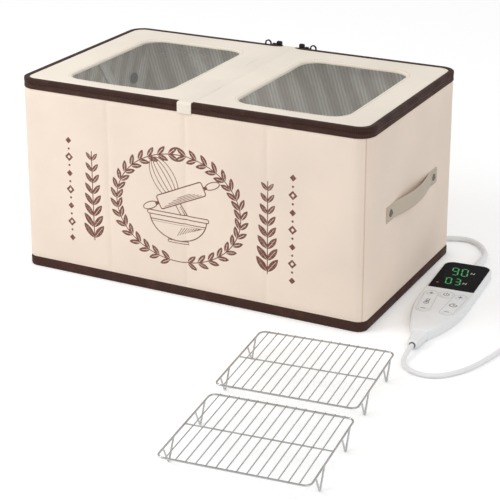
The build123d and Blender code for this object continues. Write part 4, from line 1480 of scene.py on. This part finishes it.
class PROOFER_OT_controller(bpy.types.Operator):
    """Finishes the controller: casing, lit display, buttons, and the marks and ridges on its face"""

    bl_idname = "proofer.controller"
    bl_label = "Controller"

    def execute(self, context):
        finish_nodes(["controller_base", "controller_cover"], "shell")
        finish_nodes(["display_lens"], "screen")
        finish_nodes(["circuit_board"], "board")
        buttons = ["power", "temperature_up", "temperature_down", "time_up", "time_down"]
        finish_nodes([f"{name}_button" for name in buttons], "button")
        self.display()
        self.ridges()
        self.marks()
        return {"FINISHED"}

    def display(self):
        """Two slanting figures in each of two rows, with small lit marks beside them."""
        lit = CONTROLLER.top + 0.02 * MM
        skin = Skin()
        for low_v, tall, wide, gap, start, figures in FIGURE_ROWS:
            for place, figure in enumerate(figures):
                left = start + place * (wide + gap)
                self.figure(skin, figure, left, low_v, wide, tall, lit)
        piece("display_figures", skin, ("digits",), "root")
        skin = Skin()
        for u, v in ((11.6, 71.5), (10.4, 35.5)):
            bead(skin, [u, u - 0.8], [v + 1.6, v - 3.4], lit, 0.6)
            bead(skin, [u + 3.8, u + 3.0], [v + 1.6, v - 3.4], lit, 0.6)
            bead(skin, [u + 0.2, u + 3.2], [v - 0.9, v - 0.9], lit, 0.5)
        piece("unit_marks", skin, ("warm_light",), "root")
        skin = Skin()
        bead(skin, [-24.2, -22.6, -21.0], [26.6, 28.6, 26.6], lit, 0.8)
        bead(skin, [-24.0, -21.2], [25.4, 25.4], lit, 0.6)
        piece("heat_mark", skin, ("red_light",), "root")

    def figure(self, skin, number, left, low_v, wide, tall, lit):
        """A seven-bar figure whose uprights lean back by a sixth of their height."""
        for name, ends in SEGMENTS.items():
            if name in DARK_SEGMENTS[number]:
                continue
            share = np.linspace(0, 1, 4)
            (u0, v0), (u1, v1) = ends
            length = wide if v0 == v1 else tall / 2
            share = BAR_HALF / length + share * (1 - 2 * BAR_HALF / length)
            u = (u0 + (u1 - u0) * share) * wide
            v = (v0 + (v1 - v0) * share) * tall
            share = np.array([0, 0.16, 0.84, 1])
            u, v = u[0] + (u[-1] - u[0]) * share, v[0] + (v[-1] - v[0]) * share
            bead(skin, left + u - v / 6, low_v + v, lit, np.array([0.35, 1, 1, 0.35]) * BAR_HALF)

    def ridges(self):
        """The moulded lines round each button group, in a darker grey that is painted shade: a long C on each
        side and a ring at the power button.
        """
        face = CONTROLLER.top + 0.05 * MM
        skin = Skin()
        for side in (-1, 1):
            top, foot = ((side * u, v) for u, v in (UP_BUTTON, DOWN_BUTTON))
            lean = math.degrees(math.atan2(foot[0] - top[0], top[1] - foot[1]))
            u0, v0 = arc(top, 9.0, lean + 180, lean, 20)
            u1, v1 = arc(foot, 9.0, lean, lean - 180, 20)
            u, v = np.concatenate([u0, u1]), np.concatenate([v0, v1])
            bead(skin, u, v, face, 0.5, 0.3, closed=True, square=1.0)
        angle = np.linspace(0, 360, 49)[:-1]
        u = 10.4 * np.cos(np.radians(angle))
        v = POWER_BUTTON[1] + 10.4 * np.sin(np.radians(angle))
        bead(skin, u, v, face, 0.5, 0.3, closed=True, square=1.0)
        piece("button_ridges_painted_shade", skin, ("painted_shade_ridge",), "root")

    def marks(self):
        """Grey signs: plus and minus on the buttons, a power sign, and a thermometer and a clock between."""
        cap = high("power_button").z + 0.02 * MM
        face = CONTROLLER.top + 0.02 * MM
        for kind, side in (("temperature", -1), ("time", 1)):
            for way, (u, v) in (("up", UP_BUTTON), ("down", DOWN_BUTTON)):
                u, name = side * u, f"{kind}_{way}"
                skin = bead(Skin(), [u - 3.2, u + 3.2], [v, v], cap, 0.75)
                if way == "up":
                    bead(skin, [u, u], [v - 3.2, v + 3.2], cap, 0.75)
                piece(f"{name}_sign", skin, ("mark",), name)
        skin = bead(Skin(), *arc(POWER_BUTTON, 3.6, 125, 415), cap, 0.6)
        bead(skin, [0, 0], [-9.4, -3.6], cap, 0.6)
        piece("power_sign", skin, ("mark",), "power")
        skin = bead(Skin(), *arc(CLOCK, 4.6, 70, 385), face, 0.7)
        bead(skin, [17.3, 17.3, 20.3], [-33.9, -37.5, -37.5], face, 0.6)
        u0, v0 = arc(BULB, 3.0, -230, 50, 18)
        u1, v1 = arc(BULB_TOP, 1.7, 0, 180, 8)
        bead(skin, np.concatenate([u0, u1]), np.concatenate([v0, v1]), face, 0.55, closed=True)
        bead(skin, [-17.3, -17.3], [-42.0, -35.0], face, 0.8)
        piece("panel_signs", skin, ("mark",), "root")


# ---- Cords ----
HEATER_DIAMETER, MAINS_DIAMETER = 7.5 * MM, 6 * MM
COIL_TURNS, COIL_POINTS = 5.5, 24
COIL_OUTER, COIL_PITCH, COIL_RISE = 42 * MM, 6.15 * MM, 6.1 * MM
GLAND_X = low("strain_reliefs").x + 5 * MM
GLAND_Z = high("base_binding").z / 2
GLAND_TIP = TAPE_Y + 7 * MM
# The casing's sleeves in millimetres: the heater side's place across and its two ends, and the mains tip.
HEATER_U, HEATER_ROOT, HEATER_TIP, MAINS_TIP = 8, 100.8, 143.8, -155
# Places on the table in millimetres: across from the box's right edge, and back from its back edge for
# the heater cord or from its middle for the mains cord.
HEATER_WAY = ((-22.0, 32.0), (-6.0, 40.3), (10.0, 44.3), (26.0, 39.5), (39.5, 26.5), (50.0, 8.5))
MAINS_WAY = (
    (72.2, -203.5), (78.5, -216.0), (90.5, -225.8), (105.5, -229.8), (120.0, -226.8),
    (132.2, -217.4), (148.5, -194.5), (157.5, -168.0), (164.0, -145.0),
)


def cord_curve(name, points, diameter, replaced):
    """A round cord on a smooth curve through a list of points, closed at both ends."""
    curve = bpy.data.curves.new(name, "CURVE")
    curve.dimensions = "3D"
    curve.resolution_u = 6
    curve.bevel_depth = diameter / 2
    curve.bevel_resolution = 5
    curve.use_fill_caps = True
    spline = curve.splines.new("NURBS")
    points = np.asarray(points, float)
    spline.points.add(len(points) - 1)
    spline.points.foreach_set("co", np.hstack([points, np.ones((len(points), 1))]).ravel())
    spline.order_u = 3
    spline.use_endpoint_u = True
    curve.materials.append(MATERIALS["cord"])
    thing = bpy.data.objects.new(name, curve)
    bpy.context.scene.collection.objects.link(thing)
    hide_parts(*replaced)
    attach(thing, "root")
    return thing


def coil_points(centre, low_z, high_z):
    """A clockwise coil of two layers from its west side to its east side.

    The radius falls by a pitch a turn to the middle of the coil and grows again, and the height follows a
    sine from one layer to the other over the innermost turn.
    """
    count = round(COIL_TURNS * COIL_POINTS)
    turn = np.arange(1, count + 1) / COIL_POINTS
    angle = math.pi - 2 * math.pi * turn
    from_middle = turn - COIL_TURNS / 2
    radius = COIL_OUTER - COIL_PITCH * (COIL_TURNS / 2 - np.abs(from_middle))
    rise = np.sin(math.pi * np.clip(from_middle, -0.5, 0.5))
    z = (low_z + high_z) / 2 + (high_z - low_z) / 2 * rise
    return grid(centre.x + radius * np.cos(angle), centre.y + radius * np.sin(angle), z)


class PROOFER_OT_cords(bpy.types.Operator):
    """Makes the heater cord, the mains cord with its coil, the tapered sleeves at their ends, and the plug"""

    bl_idname = "proofer.cords"
    bl_label = "Cords"

    def execute(self, context):
        self.sleeves()
        self.plug()
        low_heater, low_mains = HEATER_DIAMETER / 2, MAINS_DIAMETER / 2
        tip = (GLAND_X, GLAND_TIP, GLAND_Z)
        heater = [
            tip,
            (GLAND_X, tip[1] + 13 * MM, GLAND_Z),
            *((TAPE_X + x * MM, TAPE_Y + y * MM, low_heater) for x, y in HEATER_WAY),
            CONTROLLER.points(HEATER_U, HEATER_TIP + 17, CONTROLLER.exit),
            CONTROLLER.points(HEATER_U, HEATER_TIP, CONTROLLER.exit),
        ]
        cord = cord_curve("heater_lead", heater, HEATER_DIAMETER, ("heater_cord",))
        leave = CONTROLLER.points(0, MAINS_TIP, CONTROLLER.exit)
        coil = middle_of("mains_coil")
        blade_y = high("plug").y
        mains = [
            leave,
            CONTROLLER.points(0, MAINS_TIP - 18, CONTROLLER.exit),
            *((TAPE_X + x * MM, y * MM, low_mains) for x, y in MAINS_WAY),
            (coil.x - COIL_OUTER - 3.0 * MM, coil.y - 24.0 * MM, low_mains),
            (coil.x - COIL_OUTER, coil.y, low_mains),
            *coil_points(coil, low_mains, low_mains + COIL_RISE),
            (coil.x + COIL_OUTER, coil.y - 14 * MM, 8.6 * MM),
            (coil.x + COIL_OUTER, coil.y - 28 * MM, 7.4 * MM),
            (coil.x + COIL_OUTER, blade_y, high("plug").z / 2),
        ]
        cord = cord_curve("mains_lead", mains, MAINS_DIAMETER, ("mains_cord", "mains_coil"))
        finish_nodes(["plug_blades"], "blade")
        return {"FINISHED"}

    def sleeves(self):
        """Turned and tapered sleeves where the cords leave the base and both ends of the controller."""
        skin = Skin()
        start, end = (GLAND_X, TAPE_Y - 5 * MM, GLAND_Z), (GLAND_X, GLAND_TIP, GLAND_Z)
        profile = [(0.0, 4.3), (0.33, 4.3), (0.35, 5.0), (0.44, 5.0), (0.46, 4.8)]
        profile += [(0.46 + 0.009 * n, 4.8 - 0.006 * n - 0.3 * (n % 8 > 5)) for n in range(1, 55)]
        profile += [(0.97, 4.4), (0.99, 4.2), (1.0, 3.95)]
        turning(skin, start, end, [(t, r * MM) for t, r in profile])
        root = CONTROLLER.points(HEATER_U, HEATER_ROOT, CONTROLLER.exit)
        tip = CONTROLLER.points(HEATER_U, HEATER_TIP, CONTROLLER.exit)
        profile = [(0.0, 6.2), (0.07, 6.5), (0.12, 6.6), (0.16, 6.5)]
        share = np.linspace(0.18, 0.95, 60)
        groove = 0.25 * (np.sin(2 * math.pi * share * 9) > 0.55) * (share > 0.45)
        profile += [(t, 6.4 - 2.1 * (t - 0.18) / 0.77 - g) for t, g in zip(share, groove)]
        profile += [(0.985, 4.2), (1.0, 3.95)]
        turning(skin, root, tip, [(t, r * MM) for t, r in profile])
        v = np.array([-121, -123, -125, -128, -135, -142, -149, -153.4, -154.6, -155])
        wide = np.array([9.6, 9.9, 10.0, 9.9, 9.2, 8.4, 7.7, 7.2, 6.0, 4.4]) * MM
        tall = np.array([6.2, 6.4, 6.4, 6.3, 6.0, 5.6, 5.1, 4.8, 4.2, 3.5]) * MM
        path = CONTROLLER.points(0, v, CONTROLLER.exit)
        sleeve(skin, path, wide, tall, square=0.55, count=40)
        piece("tapered_sleeves", skin, ("shell",), "root", ("strain_reliefs",))
        skin = turning(
            Skin(),
            CONTROLLER.points(0, -154.2, CONTROLLER.exit),
            CONTROLLER.points(0, -156.0, CONTROLLER.exit),
            [(0, 3.5 * MM), (0.2, 4.2 * MM), (0.8, 4.0 * MM), (1.0, 3.3 * MM)],
        )
        piece("sleeve_ring", skin, ("grommet",), "root")

    def plug(self):
        """A moulded plug: a ribbed neck that swells into a squared body with rounded edges."""
        corner_low, corner_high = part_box("plug")
        x, z = (corner_low.x + corner_high.x) / 2, corner_high.z / 2
        length = corner_high.y - corner_low.y
        t = np.array([0, 0.02, 0.05, 0.1, 0.14, 0.15, 0.19, 0.2, 0.24, 0.25, 0.29, 0.3, 0.36, 0.42, 0.46,
                      0.5, 0.6, 0.7, 0.8, 0.9, 0.95, 0.98, 1.0])
        wide = np.array([3.5, 4.2, 4.5, 4.9, 5.1, 4.5, 4.7, 5.5, 5.7, 5.0, 5.3, 6.2, 7.4, 9.8, 11.4,
                         12.4, 12.9, 12.9, 12.7, 12.6, 12.5, 12.0, 10.8]) * MM
        tall = np.array([3.5, 4.2, 4.5, 4.8, 5.0, 4.5, 4.6, 5.3, 5.4, 4.9, 5.1, 5.9, 6.3, 6.7, 6.9,
                         6.95, 6.98, 6.98, 6.98, 6.95, 6.9, 6.5, 5.6]) * MM
        path = grid(x, corner_high.y - t * length, z)
        skin = sleeve(Skin(), path, wide, tall, square=0.62, count=48)
        piece("plug_body", skin, ("shell",), "root", ("plug",))


# ---- Zip hardware and racks ----
class PROOFER_OT_metal(bpy.types.Operator):
    """Finishes the zip sliders, their pulls and the wire racks"""

    bl_idname = "proofer.metal"
    bl_label = "Metal parts"

    def execute(self, context):
        for names, parts, finish in (
            (("left", "right"), ("slider", "pull"), "zipper"),
            (("front_rack", "back_rack"), ("grid", "legs"), "wire"),
        ):
            finish_nodes([f"{name}_{part}" for name in names for part in parts], finish)
        return {"FINISHED"}


# ---- Stage ----
FLOOR_HALF = 4.0
FLOOR_SHADE, FLOOR_GLOW = (0.8, 0.8, 0.8), 0.14
WORLD_LEVEL = 0.72
SUN_SPREAD = 50
PANEL_SIZE = 0.9
LAMPS = (
    ("key", "SUN", 0.45, (0.35, -0.2, 0.25), (0, 0, 0)),
    ("panel", "AREA", 9.5, (-0.9, -0.95, 1.1), (-0.05, -0.05, 0.12)),
)
CAMERA_AZIMUTH, CAMERA_ELEVATION = 26.962, 22.241
CAMERA_AWAY = 2.1678
CAMERA_TARGET = (-0.000665, 0.02967, 0)
CAMERA_LENS, CAMERA_SENSOR = 111.01, 36


class PROOFER_OT_stage(bpy.types.Operator):
    """Sets the pale floor, the soft light and the camera"""

    bl_idname = "proofer.stage"
    bl_label = "Stage"

    def execute(self, context):
        self.floor()
        self.world(context.scene)
        self.lamps()
        self.camera(context.scene)
        return {"FINISHED"}

    def floor(self):
        """A flat pale sheet that takes the shadow and looks white where nothing shades it."""
        half = FLOOR_HALF
        corners = [(-half, -half, 0), (half, -half, 0), (half, half, 0), (-half, half, 0)]
        skin = Skin().add(corners, [[0, 1, 2, 3]])
        nodes = Nodes("floor_paper", FLOOR_SHADE, 0.9, Specular_IOR_Level=0.0)
        path = nodes.add("LightPath").outputs
        seen = nodes.add("Math", {0: path["Is Camera Ray"], 1: path["Is Glossy Ray"]}, operation="MAXIMUM")
        seen = nodes.add("Math", {0: seen.outputs[0], 1: path["Is Transmission Ray"]}, operation="MAXIMUM")
        nodes.colour(nodes.mix(seen.outputs[0], FLOOR_SHADE, (1.0, 1.0, 1.0)))
        glow = nodes.add("Math", {0: seen.outputs[0]}, operation="MULTIPLY")
        glow.inputs[1].default_value = FLOOR_GLOW
        nodes.tree.links.new(glow.outputs[0], nodes.shader.inputs["Emission Strength"])
        nodes.set("Emission Color", (1, 1, 1, 1))
        floor = bpy.data.objects.new("floor", skin.mesh("floor", [nodes.material]))
        bpy.context.scene.collection.objects.link(floor)

    def world(self, scene):
        """Even light from all round, and plain white where the view passes the floor, through film too."""
        world = bpy.data.worlds.new("soft_studio")
        world.use_nodes = True
        tree = world.node_tree
        background = tree.nodes["Background"]
        path = tree.nodes.new("ShaderNodeLightPath")
        seen = tree.nodes.new("ShaderNodeMath")
        seen.operation = "MAXIMUM"
        tree.links.new(path.outputs["Is Camera Ray"], seen.inputs[0])
        tree.links.new(path.outputs["Is Transmission Ray"], seen.inputs[1])
        level = tree.nodes.new("ShaderNodeMapRange")
        level.inputs["To Min"].default_value = WORLD_LEVEL
        tree.links.new(seen.outputs[0], level.inputs["Value"])
        tree.links.new(level.outputs[0], background.inputs["Strength"])
        background.inputs["Color"].default_value = (1, 1, 1, 1)
        scene.world = world

    def lamps(self):
        """A broad sun low on the right, and a large soft panel high in front on the left."""
        for name, kind, energy, place, target in LAMPS:
            lamp = bpy.data.lights.new(name, kind)
            lamp.energy = energy
            if kind == "SUN":
                lamp.angle = math.radians(SUN_SPREAD)
            else:
                lamp.shape, lamp.size = "SQUARE", PANEL_SIZE
            thing = bpy.data.objects.new(name, lamp)
            away = Vector(place) - Vector(target)
            thing.location = place
            thing.rotation_euler = away.to_track_quat("Z", "Y").to_euler()
            bpy.context.scene.collection.objects.link(thing)

    def camera(self, scene):
        """A long lens from the front right, above the lid."""
        azimuth, elevation = math.radians(CAMERA_AZIMUTH), math.radians(CAMERA_ELEVATION)
        level = math.cos(elevation)
        back = Vector((math.sin(azimuth) * level, -math.cos(azimuth) * level, math.sin(elevation)))
        lens = bpy.data.cameras.new("camera")
        lens.sensor_width = CAMERA_SENSOR
        lens.lens = CAMERA_LENS
        camera = bpy.data.objects.new("camera", lens)
        camera.location = Vector(CAMERA_TARGET) + back * CAMERA_AWAY
        camera.rotation_euler = (-back).to_track_quat("-Z", "Y").to_euler()
        scene.collection.objects.link(camera)
        scene.camera = camera
        scene.view_settings.view_transform = "Standard"


class PROOFER_PT_panel(bpy.types.Panel):
    """Lists the steps that dress the proofer, with its colours and sizes"""

    bl_idname = "PROOFER_PT_panel"
    bl_label = "Proofer"
    bl_space_type = "VIEW_3D"
    bl_region_type = "UI"
    bl_category = "Proofer"

    def draw(self, context):
        for step in STEPS:
            self.layout.operator(f"proofer.{step}")
        for group in (context.scene.proofer_colours, context.scene.proofer_sizes):
            column = self.layout.column()
            for name in group.bl_rna.properties.keys():
                if name not in ("rna_type", "name"):
                    column.prop(group, name)


STEPS = ("walls", "bindings", "lids", "floor", "handles", "controller", "cords", "metal", "stage")
CLASSES = [
    ProoferColours,
    ProoferSizes,
    PROOFER_OT_walls,
    PROOFER_OT_bindings,
    PROOFER_OT_lids,
    PROOFER_OT_floor,
    PROOFER_OT_handles,
    PROOFER_OT_controller,
    PROOFER_OT_cords,
    PROOFER_OT_metal,
    PROOFER_OT_stage,
    PROOFER_PT_panel,
]


def register():
    for kind in CLASSES:
        bpy.utils.register_class(kind)
    bpy.types.Scene.proofer_colours = bpy.props.PointerProperty(type=ProoferColours)
    bpy.types.Scene.proofer_sizes = bpy.props.PointerProperty(type=ProoferSizes)


def unregister():
    del bpy.types.Scene.proofer_sizes
    del bpy.types.Scene.proofer_colours
    for kind in reversed(CLASSES):
        bpy.utils.unregister_class(kind)


def main():
    register()
    make_materials(bpy.context.scene.proofer_colours)
    for step in STEPS:
        getattr(bpy.ops.proofer, step)()


if __name__ == "__main__":
    main()
